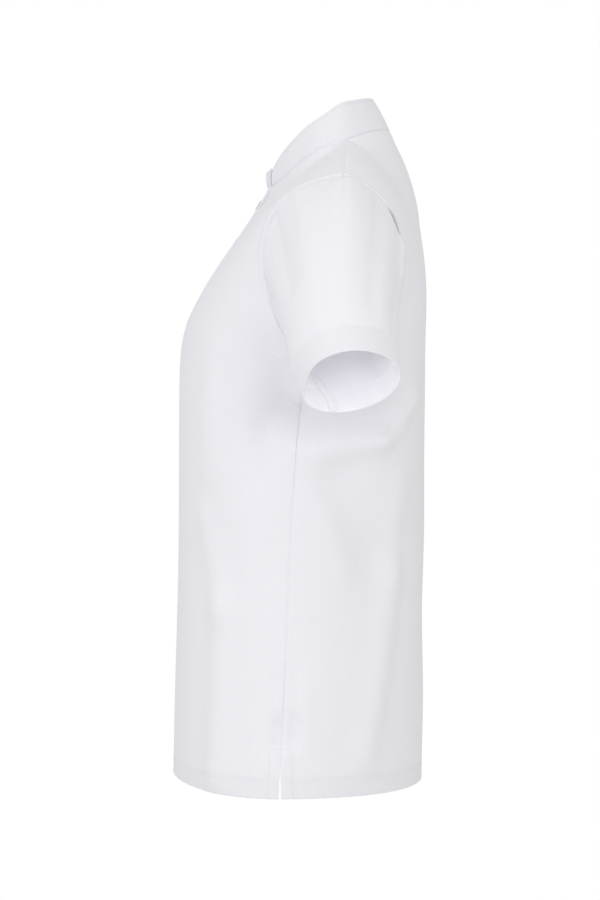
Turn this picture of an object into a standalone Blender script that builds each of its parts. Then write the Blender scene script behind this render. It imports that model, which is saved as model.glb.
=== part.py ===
"""A short-sleeved polo shirt with a stand-up band collar, hollow and open, in the pose it is worn in.

Metres. +Z is up, the wearer faces -Y and the wearer's left is +X. The origin lies midway between
the two points where the shoulder seams meet the collar. Each cut piece is a wall of cloth: a grid
of points on its outer side, and the same grid moved in by the thickness of the cloth.
"""

import bmesh
import bpy
import numpy as np

# ---- cloth and sewing -------------------------------------------------------------------------
CLOTH = 0.0015  # one layer of pique knit
COLLAR_CLOTH = 0.0020  # folded double
SEAM_GAP = 0.0003  # between two pieces that are sewn together
LAY_GAP = 0.0004  # between a piece and what lies on it

# ---- body: one row a level, from the hem to the shoulder ---------------------------------------
# The last row of the side seam is the underarm, and a panel's rows run on up the armhole.
SIDE_SEAM = np.array([  # x, y, z
    (0.1820, -0.0630, -0.6135),
    (0.1810, -0.0625, -0.5830),
    (0.1780, -0.0590, -0.5200),
    (0.1710, -0.0568, -0.4600),
    (0.1655, -0.0545, -0.4000),
    (0.1645, -0.0520, -0.3500),
    (0.1680, -0.0490, -0.3000),
    (0.1735, -0.0440, -0.2520),
    (0.1765, -0.0360, -0.2080),
])
ARMHOLE_FRONT = np.array([  # x, y, z, degrees that the section has turned through there
    (0.1752, -0.0535, -0.1950, 85),
    (0.1730, -0.0672, -0.1720, 79),
    (0.1692, -0.0745, -0.1450, 73),
    (0.1660, -0.0787, -0.1180, 67),
    (0.1662, -0.0740, -0.0880, 64),
    (0.1710, -0.0610, -0.0665, 66),
    (0.1790, -0.0360, -0.0520, 74),
    (0.1880, -0.0050, -0.0457, 82),
])
ARMHOLE_BACK = np.array([  # the same columns
    (0.1752, -0.0080, -0.2045, 84),
    (0.1705, 0.0220, -0.1900, 72),
    (0.1640, 0.0420, -0.1620, 58),
    (0.1620, 0.0490, -0.1300, 52),
    (0.1655, 0.0465, -0.1000, 54),
    (0.1740, 0.0355, -0.0740, 62),
    (0.1830, 0.0170, -0.0555, 73),
    (0.1880, -0.0050, -0.0457, 82),
])
FRONT_CENTRE = np.array([  # y, z down the middle of the front
    (-0.1677, -0.6080),
    (-0.1672, -0.5800),
    (-0.1660, -0.5180),
    (-0.1645, -0.4600),
    (-0.1632, -0.4000),
    (-0.1624, -0.3500),
    (-0.1619, -0.3000),
    (-0.1617, -0.2520),
    (-0.1609, -0.2120),
    (-0.1578, -0.1850),
    (-0.1505, -0.1640),
    (-0.1400, -0.1440),
    (-0.1272, -0.1230),
    (-0.1132, -0.1010),
    (-0.0988, -0.0790),
    (-0.0860, -0.0580),
    (-0.0750, -0.0388),
])
BACK_CENTRE = np.array([  # y, z down the middle of the back
    (0.0744, -0.6155),
    (0.0746, -0.5850),
    (0.0753, -0.5200),
    (0.0757, -0.4600),
    (0.0758, -0.4000),
    (0.0760, -0.3500),
    (0.0764, -0.3000),
    (0.0764, -0.2520),
    (0.0765, -0.2100),
    (0.0768, -0.1850),
    (0.0772, -0.1580),
    (0.0770, -0.1300),
    (0.0757, -0.1040),
    (0.0733, -0.0780),
    (0.0690, -0.0510),
    (0.0590, -0.0190),
    (0.0431, 0.0157),
])
# How square each level's section is, where 2 is an ellipse: the back is broader than the front.
FRONT_SQUARE = (2.2, 2.2, 2.25, 2.3, 2.3, 2.35, 2.4, 2.5, 2.5, 2.5, 2.45, 2.4, 2.35, 2.3, 2.3, 2.3, 2.3)
BACK_SQUARE = (2.2, 2.2, 2.2, 2.25, 2.3, 2.4, 2.6, 2.9, 3.2, 3.3, 3.2, 3.0, 2.8, 2.6, 2.5, 2.4, 2.4)
SIDE_TURN = 90.0  # degrees that a section has turned through at the side seam

HEM_ROW, VENT_ROW, UNDERARM_ROW, PLACKET_ROW, TOP_ROW = 0, 1, 8, 10, 16
ROWS_BETWEEN = (2, 18, 4, 11)  # grid rows between each of those levels and the next
SIDE_ROWS, SLIT_ROW, ARMHOLE_ROWS = sum(ROWS_BETWEEN[:2]), sum(ROWS_BETWEEN[:3]), sum(ROWS_BETWEEN[2:])
VENT_HALF_GAPE = 0.0011  # at the hem, each edge stands this far from the side seam's line
SHOULDER_CROWN = 0.0030  # how far the shoulder seam bows up between its ends
SHOULDER_LIFT_POWER = 2.5  # how fast the rise to the shoulder fades below the seam
SHOULDER_LIFT_FROM = 10.0  # the row where that rise starts
LIFT_SAMPLES, LIFT_SOFTNESS = 241, 0.16  # points across the lift, and the width it is softened over

# ---- neckline and collar: one row a station, from the middle back to the middle front -----------
NECK = np.array([  # x, y, z of the seam, then x, y, z of the collar's top edge
    (0.0000, 0.0431, 0.0157, 0.0000, 0.0262, 0.0490),
    (0.0150, 0.0422, 0.0155, 0.0130, 0.0254, 0.0485),
    (0.0380, 0.0345, 0.0132, 0.0320, 0.0205, 0.0460),
    (0.0600, 0.0195, 0.0080, 0.0500, 0.0085, 0.0420),
    (0.0750, 0.0000, 0.0000, 0.0620, -0.0060, 0.0375),
    (0.0765, -0.0205, -0.0060, 0.0635, -0.0225, 0.0260),
    (0.0680, -0.0370, -0.0140, 0.0570, -0.0385, 0.0155),
    (0.0500, -0.0535, -0.0270, 0.0440, -0.0540, 0.0020),
    (0.0300, -0.0660, -0.0355, 0.0275, -0.0655, -0.0105),
    (0.0150, -0.0728, -0.0382, 0.0145, -0.0722, -0.0210),
    (0.0000, -0.0750, -0.0388, 0.0000, -0.0760, -0.0225),
])
SHOULDER_STATION = 4  # where the shoulder seam meets the collar
COLLAR_SWELL = 0.0012  # how far the band bows out halfway up
COLLAR_LEVELS = 5  # grid rows from the collar's foot to its top
LAP_COLUMNS = (2, 5)  # from each end, the lap is full up to the first and gone at the second

# ---- grid columns of half a panel ---------------------------------------------------------------
PLACKET_HALF = 0.0150
NECK_COLUMNS, SHOULDER_COLUMNS = 5, 9

# ---- placket and buttons ------------------------------------------------------------------------
PLACKET_OVER_EDGE = 0.0165  # the upper band's free edge, on the wearer's left of the middle
PLACKET_OVER_FOLD = -0.0185  # its sewn edge
PLACKET_OVER_COLUMNS = (PLACKET_OVER_FOLD, -0.0145, -0.0085, 0.0065, 0.0125, PLACKET_OVER_EDGE)
PLACKET_UNDER_COLUMNS = (-0.0165, -0.0040, 0.0090, 0.0215)
PLACKET_CLOTH = 0.0011
PLACKET_TROUGH = 0.0012  # between its edges the upper band sinks into the slit by this much
PLACKET_SHORT = 0.0022  # the upper band stops this far below the neckline
PLACKET_FOOT = 0.55  # both bands reach this share of a row below the slit
BUTTON_DROPS = (0.020, 0.062, 0.104)  # below the neckline, along the placket
BUTTON_RADIUS = 0.0055
BUTTON_THICK = 0.0014
BUTTON_SIDES = 24
BUTTON_PROFILE = (  # radius and height, as shares of the button's own
    (0.92, 0.00),
    (1.00, 0.15),
    (1.00, 0.75),
    (0.90, 1.00),
    (0.74, 1.00),
    (0.66, 0.72),
)

# ---- sleeve and cuff ----------------------------------------------------------------------------
SLEEVE_OUT, SLEEVE_BACK = 32.5, 8.0  # degrees that the sleeve leans out and back
CUFF_MIDDLE = np.array((0.2548, -0.0018, -0.2350))  # the middle of the cuff's open end
CUFF_RADII = (0.0462, 0.0482)  # front to back, and in to out
CUFF_WIDTH = 0.0250
CUFF_PROFILE = (  # shares of the width up from the open end, and how far the outer side is proud
    (0.988, 0.0003),
    (0.900, 0.0008),
    (0.500, 0.0008),
    (0.000, 0.0004),
)
CUFF_DEPTH = 0.0016  # how far the cuff's inner side lies inside its ring
CUFF_TAPER = 1.045  # the cuff's seam is this much wider than its open end
CUFF_DENT = (78.0, 40.0, 0.0060)  # its open end is pressed in about this turn, this wide and deep
UNDERARM_TURN = 172.0  # degrees round the cuff, by way of the front, to the sleeve's seam
SLEEVE_RINGS = 8
CAP_SLOPE = np.array((0.90, 0.0, -0.44))  # the way the cap sets off from the shoulder

# ---- the largest folds, on each side ------------------------------------------------------------
FOLDS = np.array([  # from x, y, z to x, y, z, half width, height (below 0 for a hollow)
    (0.175, -0.059, -0.203, 0.173, -0.053, -0.252, 0.0260, -0.0170),
    (0.169, -0.086, -0.223, 0.172, -0.065, -0.257, 0.0380, -0.0050),
    (0.173, -0.038, -0.261, 0.151, 0.033, -0.268, 0.0150, -0.0110),
    (0.119, 0.062, -0.245, 0.153, 0.028, -0.278, 0.0150, 0.0065),
    (0.153, 0.028, -0.278, 0.167, -0.025, -0.298, 0.0140, 0.0050),
    (0.159, 0.000, -0.322, 0.142, 0.022, -0.387, 0.0260, -0.0070),
    (0.122, 0.047, -0.332, 0.126, 0.039, -0.411, 0.0150, 0.0035),
    (0.126, 0.039, -0.411, 0.155, 0.015, -0.573, 0.0160, 0.0050),
    (0.139, -0.126, -0.207, 0.129, -0.130, -0.315, 0.0180, 0.0025),
    (0.162, -0.079, -0.360, 0.169, -0.068, -0.442, 0.0400, 0.0030),
    (0.125, -0.132, -0.360, 0.147, -0.117, -0.442, 0.0150, 0.0040),
    (0.147, -0.117, -0.442, 0.154, -0.124, -0.598, 0.0160, 0.0040),
])
RIGHT_SIDE_SHARE = 0.85  # the right side's folds are a little shallower
ARMHOLE_CALM = 0.014  # the folds fade out this near to an armhole

# ---- finishes -----------------------------------------------------------------------------------
WHITE_PIQUE = ("white pique cotton", (0.80, 0.80, 0.83, 1.0), 0.90)
WHITE_BUTTON = ("white polyester button", (0.83, 0.82, 0.80, 1.0), 0.30)


def clear_scene():
    for thing in list(bpy.data.objects):
        bpy.data.objects.remove(thing, do_unlink=True)


def finish(name, colour, roughness):
    """The named material, made once."""
    found = bpy.data.materials.get(name)
    if found:
        return found
    found = bpy.data.materials.new(name)
    found.use_nodes = True
    shader = found.node_tree.nodes["Principled BSDF"]
    shader.inputs["Base Color"].default_value = colour
    shader.inputs["Roughness"].default_value = roughness
    shader.inputs["Metallic"].default_value = 0.0
    return found


def smooth_through(table, at, beyond=None):
    """A smooth curve through a table's rows, read at fractional row numbers (Catmull-Rom). It
    leaves its last row towards the row beyond, or straight on where there is none."""
    table = np.asarray(table, float)
    table = table.reshape(len(table), -1)
    at = np.asarray(at, float)
    last = len(table) - 1
    start = np.clip(np.floor(at).astype(int), 0, last - 1)
    t = (at - start)[..., None]
    beyond = 2 * table[-1] - table[-2] if beyond is None else beyond
    ends = np.vstack([2 * table[0] - table[1], table, beyond])
    a, b, c, d = (ends[start + step] for step in range(4))
    return b + 0.5 * t * (c - a + t * (2 * a - 5 * b + 4 * c - d + t * (3 * (b - c) + d - a)))


def unit(vectors):
    return vectors / np.maximum(np.linalg.norm(vectors, axis=-1, keepdims=True), 1e-12)


def grid_normals(grid, ring=False):
    """Unit normals of a grid of points. A ring's last column is followed by its first."""
    if ring:
        across = np.roll(grid, -1, axis=1) - np.roll(grid, 1, axis=1)
    else:
        across = np.gradient(grid, axis=1)
    return unit(np.cross(across, np.gradient(grid, axis=0)))


# ---- the body's surface -------------------------------------------------------------------------
def panel_rows():
    """Row numbers of the grid's rows, from the hem to the top."""
    stops = (HEM_ROW, VENT_ROW, UNDERARM_ROW, PLACKET_ROW, TOP_ROW)
    runs = [
        np.linspace(low, high, count, endpoint=False)
        for low, high, count in zip(stops, stops[1:], ROWS_BETWEEN)
    ]
    return np.concatenate(runs + [[float(TOP_ROW)]])


def panel_columns():
    """Column numbers of half a panel: 0 is the middle, 1 the placket's edge, 2 the side."""
    neck = np.arange(NECK_COLUMNS + 1) / (NECK_COLUMNS + SHOULDER_COLUMNS)
    shoulder = neck[-1] + np.arange(1, SHOULDER_COLUMNS + 1) / (NECK_COLUMNS + SHOULDER_COLUMNS)
    return np.concatenate([[0.0], 1 + neck, 1 + shoulder])


def top_edge(is_front, columns):
    """The neckline from the middle to the shoulder seam, and on down that seam to the armhole."""
    stations = len(NECK) - 1
    middle, beside = (stations, stations - 1) if is_front else (0, 1)
    corner = 1 + NECK_COLUMNS / (NECK_COLUMNS + SHOULDER_COLUMNS)
    station = np.interp(columns, (0, 1, corner), (middle, beside, SHOULDER_STATION))
    neckline = smooth_through(NECK[:, :3], station)
    along = np.clip((columns - corner) / (2 - corner), 0, 1)[:, None]
    shoulder = NECK[SHOULDER_STATION, :3] * (1 - along) + ARMHOLE_FRONT[-1, :3] * along
    shoulder[:, 2] += SHOULDER_CROWN * np.sin(np.pi * along[:, 0])
    return np.where((columns <= corner)[:, None], neckline, shoulder)


def side_edge(is_front, rows):
    """A panel's side edge: the side seam, then its half of the armhole, which runs smoothly over
    the shoulder into the other panel's half."""
    near, far = (ARMHOLE_FRONT, ARMHOLE_BACK) if is_front else (ARMHOLE_BACK, ARMHOLE_FRONT)
    side = np.column_stack([SIDE_SEAM, np.full(len(SIDE_SEAM), SIDE_TURN)])
    over = np.append(far[-2, :3], 2 * near[-1, 3] - near[-2, 3])
    armhole = smooth_through(np.vstack([side[-1:], near]), np.maximum(rows - UNDERARM_ROW, 0), over)
    side = smooth_through(side, np.minimum(rows, UNDERARM_ROW))
    return np.where((rows > UNDERARM_ROW)[:, None], armhole, side)


def level_arcs(is_front, rows, columns):
    """Arcs from the middle of a panel to its side edge, as parts of rounded rectangles."""
    centre = smooth_through(FRONT_CENTRE if is_front else BACK_CENTRE, rows)
    edge = side_edge(is_front, rows)
    power = 2 / smooth_through(FRONT_SQUARE if is_front else BACK_SQUARE, rows)
    turned = np.radians(np.minimum(edge[:, 3:], SIDE_TURN))
    first = np.arcsin((PLACKET_HALF / edge[:, :1]) ** (1 / power) * np.sin(turned))
    angle = np.where(columns < 1, first * columns, first + (turned - first) * (columns - 1))
    out = (np.sin(angle) / np.sin(turned)) ** power
    rest = np.abs(np.cos(turned)) ** power
    forward = (np.abs(np.cos(angle)) ** power - rest) / (1 - rest)
    x = edge[:, :1] * out
    y = edge[:, 1:2] + (centre[:, :1] - edge[:, 1:2]) * forward
    z = centre[:, 1:] + (edge[:, 2:3] - centre[:, 1:]) * out**2
    return np.stack([x, y, z], axis=-1)


def read_between(wanted, at, values):
    """Rows of values, given at rising places, read at the wanted places between them."""
    return np.stack([np.interp(wanted, at, part) for part in values.T], -1)


def half_panel(is_front, rows, columns):
    """Points of the panel's half at +X, a row a level: arcs, lifted at the top to meet the seam.
    The lift is softened along the row, and only its last part is as crisp as the seam itself."""
    points = level_arcs(is_front, rows, columns)
    fine = np.linspace(0, 2, LIFT_SAMPLES)
    lift = top_edge(is_front, fine) - level_arcs(is_front, np.array([TOP_ROW]), fine)[0]
    near = np.exp(-(((fine[:, None] - fine) / LIFT_SOFTNESS) ** 2))
    soft = near @ lift / near.sum(axis=1, keepdims=True)
    soft *= np.sqrt(np.clip(np.sin(np.pi * fine / 2), 0, 1))[:, None]
    rise = np.clip((rows - SHOULDER_LIFT_FROM) / (TOP_ROW - SHOULDER_LIFT_FROM), 0, 1)
    rise = (rise**SHOULDER_LIFT_POWER)[:, None, None]
    crisp = rise**4
    soft, lift = (read_between(columns, fine, part) for part in (soft, lift))
    return points + rise * (soft * (1 - crisp) + lift * crisp)


def fold_height(points, side):
    """How far the folds lift the cloth: each is a smooth bump about a line, thinning at its ends."""
    share = 1.0 if side > 0 else RIGHT_SIDE_SHARE
    total = np.zeros(points.shape[:-1])
    for x0, y0, z0, x1, y1, z1, half_width, height in FOLDS:
        start, end = np.array((side * x0, y0, z0)), np.array((side * x1, y1, z1))
        run = end - start
        along = np.clip((points - start) @ run / (run @ run), 0, 1)
        away = np.linalg.norm(points - start - along[..., None] * run, axis=-1)
        total += share * height * np.exp(-((away / half_width) ** 2))
    return total


def bare_panel(is_front):
    """The whole panel's outer points, mirrored from one half, with its side edges parted at the
    vents."""
    rows, columns = panel_rows(), panel_columns()
    half = half_panel(is_front, rows, columns)
    part = np.clip(1 - rows / VENT_ROW, 0, 1)[:, None] * (columns == 2)
    half[..., 1] += (-1 if is_front else 1) * VENT_HALF_GAPE * part
    mirrored = half[:, :0:-1] * (-1, 1, 1)
    grid = np.concatenate([mirrored, half], axis=1)
    return grid if is_front else grid[:, ::-1]


def folded_panels():
    """Front and back with their folds, which carry the side seams that they share as one line and
    leave the armholes where they are."""
    front, back = bare_panel(True), bare_panel(False)
    out_front, out_back = grid_normals(front), grid_normals(back)
    side = np.s_[: SIDE_ROWS + 1]
    for front_edge, back_edge in ((-1, 0), (0, -1)):
        shared = unit(out_front[side, front_edge] + out_back[side, back_edge])
        out_front[side, front_edge] = out_back[side, back_edge] = shared
    arm = armhole_ring(front, back)
    folded = []
    for grid, outward in ((front, out_front), (back, out_back)):
        height = np.zeros(grid.shape[:2])
        for sign in (1.0, -1.0):
            away = np.linalg.norm(grid[:, :, None] - arm * (sign, 1, 1), axis=-1).min(axis=-1)
            height += fold_height(grid, sign) * (1 - np.exp(-((away / ARMHOLE_CALM) ** 2)))
        folded.append(grid + outward * height[..., None])
    return folded


def pulled_back(grid, sides=(), by=SEAM_GAP / 2):
    """The grid with the named edges drawn in along the cloth, to leave room for the seam."""
    grid = grid.copy()
    inner = {"left": grid[:, 1], "right": grid[:, -2], "top": grid[-2], "bottom": grid[1]}
    edge = {"left": np.s_[:, 0], "right": np.s_[:, -1], "top": np.s_[-1], "bottom": np.s_[0]}
    moves = [(edge[side], by * unit(inner[side] - grid[edge[side]])) for side in sides]
    for where, move in moves:
        grid[where] += move
    return grid


def mitre(grid, outward, thickness, where, inside, beyond):
    """How far an inner edge is drawn back, so that two walls meeting at a ridge don't cross."""
    out = unit(grid[where] - inside)
    onward = unit(beyond - grid[where])
    cut = unit(out + onward)
    slope = np.sum(outward[where] * cut, axis=-1) / np.sum(out * cut, axis=-1)
    back = np.clip(slope, -2.0, 0.0) * thickness
    return out * back[..., None]


# ---- walls --------------------------------------------------------------------------------------
def wall(name, outer, inner, look, ring=False, keep=None):
    """One closed body between two grids of points; the cells that keep leaves out are holes."""
    rows, columns = outer.shape[:2]
    cells = columns if ring else columns - 1
    keep = np.ones((rows - 1, cells), bool) if keep is None else keep
    number = np.arange(rows * columns).reshape(rows, columns)
    number = np.hstack([number, number[:, :1]]) if ring else number
    inside = rows * columns
    faces = []

    def has(row, column):
        column = column % cells if ring else column
        return 0 <= row < rows - 1 and 0 <= column < cells and keep[row, column]

    for row in range(rows - 1):
        for column in range(cells):
            if not keep[row, column]:
                continue
            a, b = number[row, column], number[row, column + 1]
            c, d = number[row + 1, column + 1], number[row + 1, column]
            faces.append((a, b, c, d))
            faces.append((d + inside, c + inside, b + inside, a + inside))
            around = (
                (a, b, row - 1, column),
                (b, c, row, column + 1),
                (c, d, row + 1, column),
                (d, a, row, column - 1),
            )
            for first, second, next_row, next_column in around:
                if not has(next_row, next_column):
                    faces.append((second, first, first + inside, second + inside))
    points = np.concatenate([outer.reshape(-1, 3), inner.reshape(-1, 3)])
    used, renumbered = np.unique(np.array(faces), return_inverse=True)
    mesh = bpy.data.meshes.new(name)
    mesh.from_pydata(points[used].tolist(), [], renumbered.reshape(-1, 4).tolist())
    return place(name, mesh, look)


def place(name, mesh, look):
    """The mesh as a named, smooth-shaded object with its faces turned outwards."""
    work = bmesh.new()
    work.from_mesh(mesh)
    bmesh.ops.recalc_face_normals(work, faces=work.faces)
    work.to_mesh(mesh)
    work.free()
    mesh.shade_smooth()
    mesh.set_sharp_from_angle(angle=np.radians(40))
    mesh.materials.append(finish(*look))
    thing = bpy.data.objects.new(name, mesh)
    bpy.context.scene.collection.objects.link(thing)
    return thing


# ---- sleeve surface -----------------------------------------------------------------------------
def sleeve_axes():
    """The sleeve's own directions: along the arm, towards the back, and outwards."""
    lean_out, lean_back = np.radians((SLEEVE_OUT, SLEEVE_BACK))
    along = unit(np.array((np.sin(lean_out), np.sin(lean_back), -np.cos(lean_out))))
    backward = unit(np.array((0.0, 1.0, 0.0)) - along * along[1])
    return along, backward, np.cross(along, backward)


def armhole_ring(front, back):
    """The left armhole's seam line, from the shoulder forwards and round under the arm."""
    return np.concatenate([front[::-1][: ARMHOLE_ROWS + 1, -1], back[-ARMHOLE_ROWS:-1, 0]])


def cuff_ring(turns, distance):
    """A ring of the cuff, this far up from its open end, at these degrees round the arm."""
    along, backward, outward = sleeve_axes()
    angle = np.radians(turns)[:, None]
    swell = 1 + (CUFF_TAPER - 1) * distance / CUFF_WIDTH
    middle = CUFF_MIDDLE - along * distance
    turn, wide, deep = CUFF_DENT
    dent = deep * np.exp(-(((turns - turn) / wide) ** 2))[:, None] * (1 - distance / CUFF_WIDTH)
    front_to_back, in_to_out = (swell * radius - dent for radius in CUFF_RADII)
    return middle + np.cos(angle) * in_to_out * outward - np.sin(angle) * front_to_back * backward


def turns_round(ring):
    """Degrees round the cuff for each point of the armhole, by its share of the way round."""
    steps = np.linalg.norm(np.roll(ring, -1, axis=0) - ring, axis=1)
    run = np.concatenate([[0.0], np.cumsum(steps)])
    return np.interp(run[:-1], (0, run[ARMHOLE_ROWS], run[-1]), (0, UNDERARM_TURN, 360))


def sleeve_grid(ring):
    """The sleeve from the armhole to the cuff: a Hermite curve for each point of the armhole."""
    turns = turns_round(ring)
    along = sleeve_axes()[0]
    end = cuff_ring(turns, CUFF_WIDTH)
    chord = end - ring
    length = np.linalg.norm(chord, axis=1, keepdims=True)
    cap = np.clip(np.cos(np.radians(turns)), 0, 1)[:, None] ** 1.5
    leave = unit(unit(chord) * (1 - cap) + unit(CAP_SLOPE) * cap) * length
    arrive = unit(unit(chord) + along) * length
    t = np.linspace(0, 1, SLEEVE_RINGS + 1)[:, None, None]
    return (
        ring * (2 * t**3 - 3 * t**2 + 1)
        + leave * (t**3 - 2 * t**2 + t)
        + end * (3 * t**2 - 2 * t**3)
        + arrive * (t**3 - t**2)
    )


# ---- the pieces ---------------------------------------------------------------------------------
def make_body(front, back, sleeve):
    """The front with its slit, and the back, cut to meet each other and the sleeves."""
    mirror = np.array((-1, 1, 1))
    half_way = front.shape[1] // 2
    shoulder = np.arange(SHOULDER_COLUMNS + 1)
    shoulder = np.concatenate([shoulder, -1 - shoulder])
    for name, grid, other, is_front in (
        ("front_panel", front, back, True),
        ("back_panel", back, front, False),
    ):
        outer = pulled_back(grid, ("left", "right", "top"))
        outward = grid_normals(outer)
        inner = outer - CLOTH * outward
        ring = sleeve[1]
        back_arm = np.concatenate([ring[ARMHOLE_ROWS:], ring[:1]])
        arm = ring[: ARMHOLE_ROWS + 1][::-1] if is_front else back_arm
        left_edge = (-1, -2, 1) if is_front else (0, 1, -2)
        right_edge = (0, 1, -2) if is_front else (-1, -2, 1)
        for (column, beside, across), flip in ((left_edge, 1), (right_edge, mirror)):
            target = np.concatenate([other[:-ARMHOLE_ROWS, across], arm[1:] * flip])
            where = (np.s_[:], column)
            inner[where] += mitre(outer, outward, CLOTH, where, outer[:, beside], target)
        where = (-1, shoulder)
        target = other[-2, ::-1][shoulder]
        inner[where] += mitre(outer, outward, CLOTH, where, outer[-2, shoulder], target)
        keep = np.ones((outer.shape[0] - 1, outer.shape[1] - 1), bool)
        if is_front:
            keep[SLIT_ROW:, half_way - 1 : half_way + 1] = False
        wall(name, outer, inner, WHITE_PIQUE, keep=keep)


def make_sleeves(sleeve, ring, front, back):
    """Both sleeves and both cuffs, the right ones mirrored from the left."""
    outer = pulled_back(sleeve, ("top", "bottom"))
    outward = grid_normals(outer, ring=True)
    inner = outer - CLOTH * outward
    before = np.concatenate([front[::-1][: ARMHOLE_ROWS + 1, -2], back[-ARMHOLE_ROWS:-1, 1]])
    inner[0] += mitre(outer, outward, CLOTH, (0,), outer[1], before)
    turns = turns_round(ring)
    cuff = np.stack([cuff_ring(turns, share * CUFF_WIDTH) for share, _ in CUFF_PROFILE])
    cuff_out = grid_normals(cuff, ring=True)
    proud = np.array([height for _, height in CUFF_PROFILE])
    cuff_outer = cuff + cuff_out * proud[:, None, None]
    cuff_inner = cuff - cuff_out * CUFF_DEPTH
    for side, sign in (("left", 1), ("right", -1)):
        flip = np.array((sign, 1, 1))
        wall(f"sleeve_{side}", outer * flip, inner * flip, WHITE_PIQUE, ring=True)
        wall(f"cuff_{side}", cuff_outer * flip, cuff_inner * flip, WHITE_PIQUE, ring=True)


def collar_points():
    """The band's foot and top, from its left end, round the back of the neck, to its right end."""
    stations = len(NECK) - 1
    corner = NECK_COLUMNS
    front = np.linspace(stations - 1, SHOULDER_STATION, corner + 1)
    back = np.linspace(SHOULDER_STATION, 1, corner + 1)[1:]
    half = np.concatenate([[stations], front, back, [0]])
    flip = np.array((-1, 1, 1, -1, 1, 1))
    left = smooth_through(NECK, half)
    beyond = smooth_through(NECK, np.array([stations - 1.0])) * flip
    return np.concatenate([beyond, left, left[-2::-1] * flip, beyond * flip])


def make_collar():
    """The band, with its right end lapped over its left at the front."""
    points = collar_points()
    up = np.linspace(0, 1, COLLAR_LEVELS)[:, None, None]
    foot, top = points[:, :3], points[:, 3:]
    grid = foot + (top - foot) * up
    outward = grid_normals(grid)
    grid = grid + outward * COLLAR_SWELL * 4 * up * (1 - up)
    from_end = np.arange(len(points))
    under = np.interp(from_end, LAP_COLUMNS, (1, 0))
    lap = under[::-1] - under
    shift = (COLLAR_CLOTH + LAY_GAP) / 2 * lap
    outer = grid + outward * shift[None, :, None] + unit(top - foot) * SEAM_GAP
    wall("collar_band", outer, outer - outward * COLLAR_CLOTH, WHITE_PIQUE)


def strip_on_front(across, rows):
    """Points of the front on upright lines, a row a level, with the way out there."""
    columns = np.array([0.0, 0.5, 1.0, 1.1, 1.2])
    half = half_panel(True, rows, columns)
    outward = grid_normals(half)
    across = np.array(across)
    points, out = (
        np.stack([read_between(np.abs(across), half[k, :, 0], values[k]) for k in range(len(rows))])
        for values in (half, outward)
    )
    points[..., 0] = across
    out[..., 0] *= np.sign(across)
    return points, unit(out)


def make_placket():
    """Both bands: one behind the front's slit, one over it."""
    rows = panel_rows()[SLIT_ROW:]
    rows = np.concatenate([[rows[0] - PLACKET_FOOT], rows])
    over, out = strip_on_front(PLACKET_OVER_COLUMNS, rows)
    over = pulled_back(over, ("top",), PLACKET_SHORT)
    sunk = np.zeros(over.shape[:2])
    sunk[2:, 2:-2] = PLACKET_TROUGH
    outer = over + out * (LAY_GAP + PLACKET_CLOTH - sunk)[..., None]
    wall("placket_over", outer, outer - out * PLACKET_CLOTH, WHITE_PIQUE)
    under, out = strip_on_front(PLACKET_UNDER_COLUMNS, rows)
    under = pulled_back(under, ("top",))
    outer = under - out * (CLOTH + 2 * LAY_GAP)
    wall("placket_under", outer, outer - out * PLACKET_CLOTH, WHITE_PIQUE)


def turned_button(base, down, out):
    """The button's profile turned about its axis, flat at the back and hollowed inside its rim."""
    turns = np.linspace(0, 2 * np.pi, BUTTON_SIDES, endpoint=False)
    spokes = np.cos(turns)[:, None] * (1.0, 0.0, 0.0) + np.sin(turns)[:, None] * down
    work = bmesh.new()
    rings = []
    for radius, height in BUTTON_PROFILE:
        spot = base + spokes * radius * BUTTON_RADIUS + out * height * BUTTON_THICK
        rings.append([work.verts.new(point) for point in spot])
    for low, high in zip(rings, rings[1:]):
        for k in range(BUTTON_SIDES):
            beside = (k + 1) % BUTTON_SIDES
            work.faces.new((low[k], low[beside], high[beside], high[k]))
    work.faces.new(rings[0])
    work.faces.new(rings[-1])
    mesh = bpy.data.meshes.new("button")
    work.to_mesh(mesh)
    work.free()
    return mesh


def make_buttons():
    """Three flat buttons down the middle of the upper band."""
    rows = np.linspace(PLACKET_ROW, TOP_ROW, LIFT_SAMPLES)
    line = half_panel(True, rows, np.array([0.0, 1.0]))[::-1, 0]
    drop = np.concatenate([[0.0], np.cumsum(np.linalg.norm(np.diff(line, axis=0), axis=1))])
    for number, wanted in enumerate(BUTTON_DROPS, start=1):
        centre, edge = read_between((wanted, wanted + BUTTON_RADIUS), drop, line)
        down = unit(edge - centre)
        out = np.cross(down, (1.0, 0.0, 0.0))
        base = centre + out * (LAY_GAP + PLACKET_CLOTH - PLACKET_TROUGH + SEAM_GAP)
        place(f"button_{number}", turned_button(base, down, out), WHITE_BUTTON)


def main():
    clear_scene()
    front, back = folded_panels()
    ring = armhole_ring(front, back)
    sleeve = sleeve_grid(ring)
    make_body(front, back, sleeve)
    make_sleeves(sleeve, ring, front, back)
    make_collar()
    make_placket()
    make_buttons()


main()
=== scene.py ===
"""The looks of a white pique polo shirt with a stand-up band collar, standing as it is worn.

Metres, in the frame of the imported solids: +Z up, the front faces -Y, the wearer's left is +X.
Every cut piece is a sheet worked out on a grid from the shirt's own levels, stations and folds,
then given the thickness of its cloth. Seams, stitches and buttons are laid on those grids.
"""

import bmesh
import bpy
import numpy as np
from mathutils import Matrix, Vector


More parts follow.
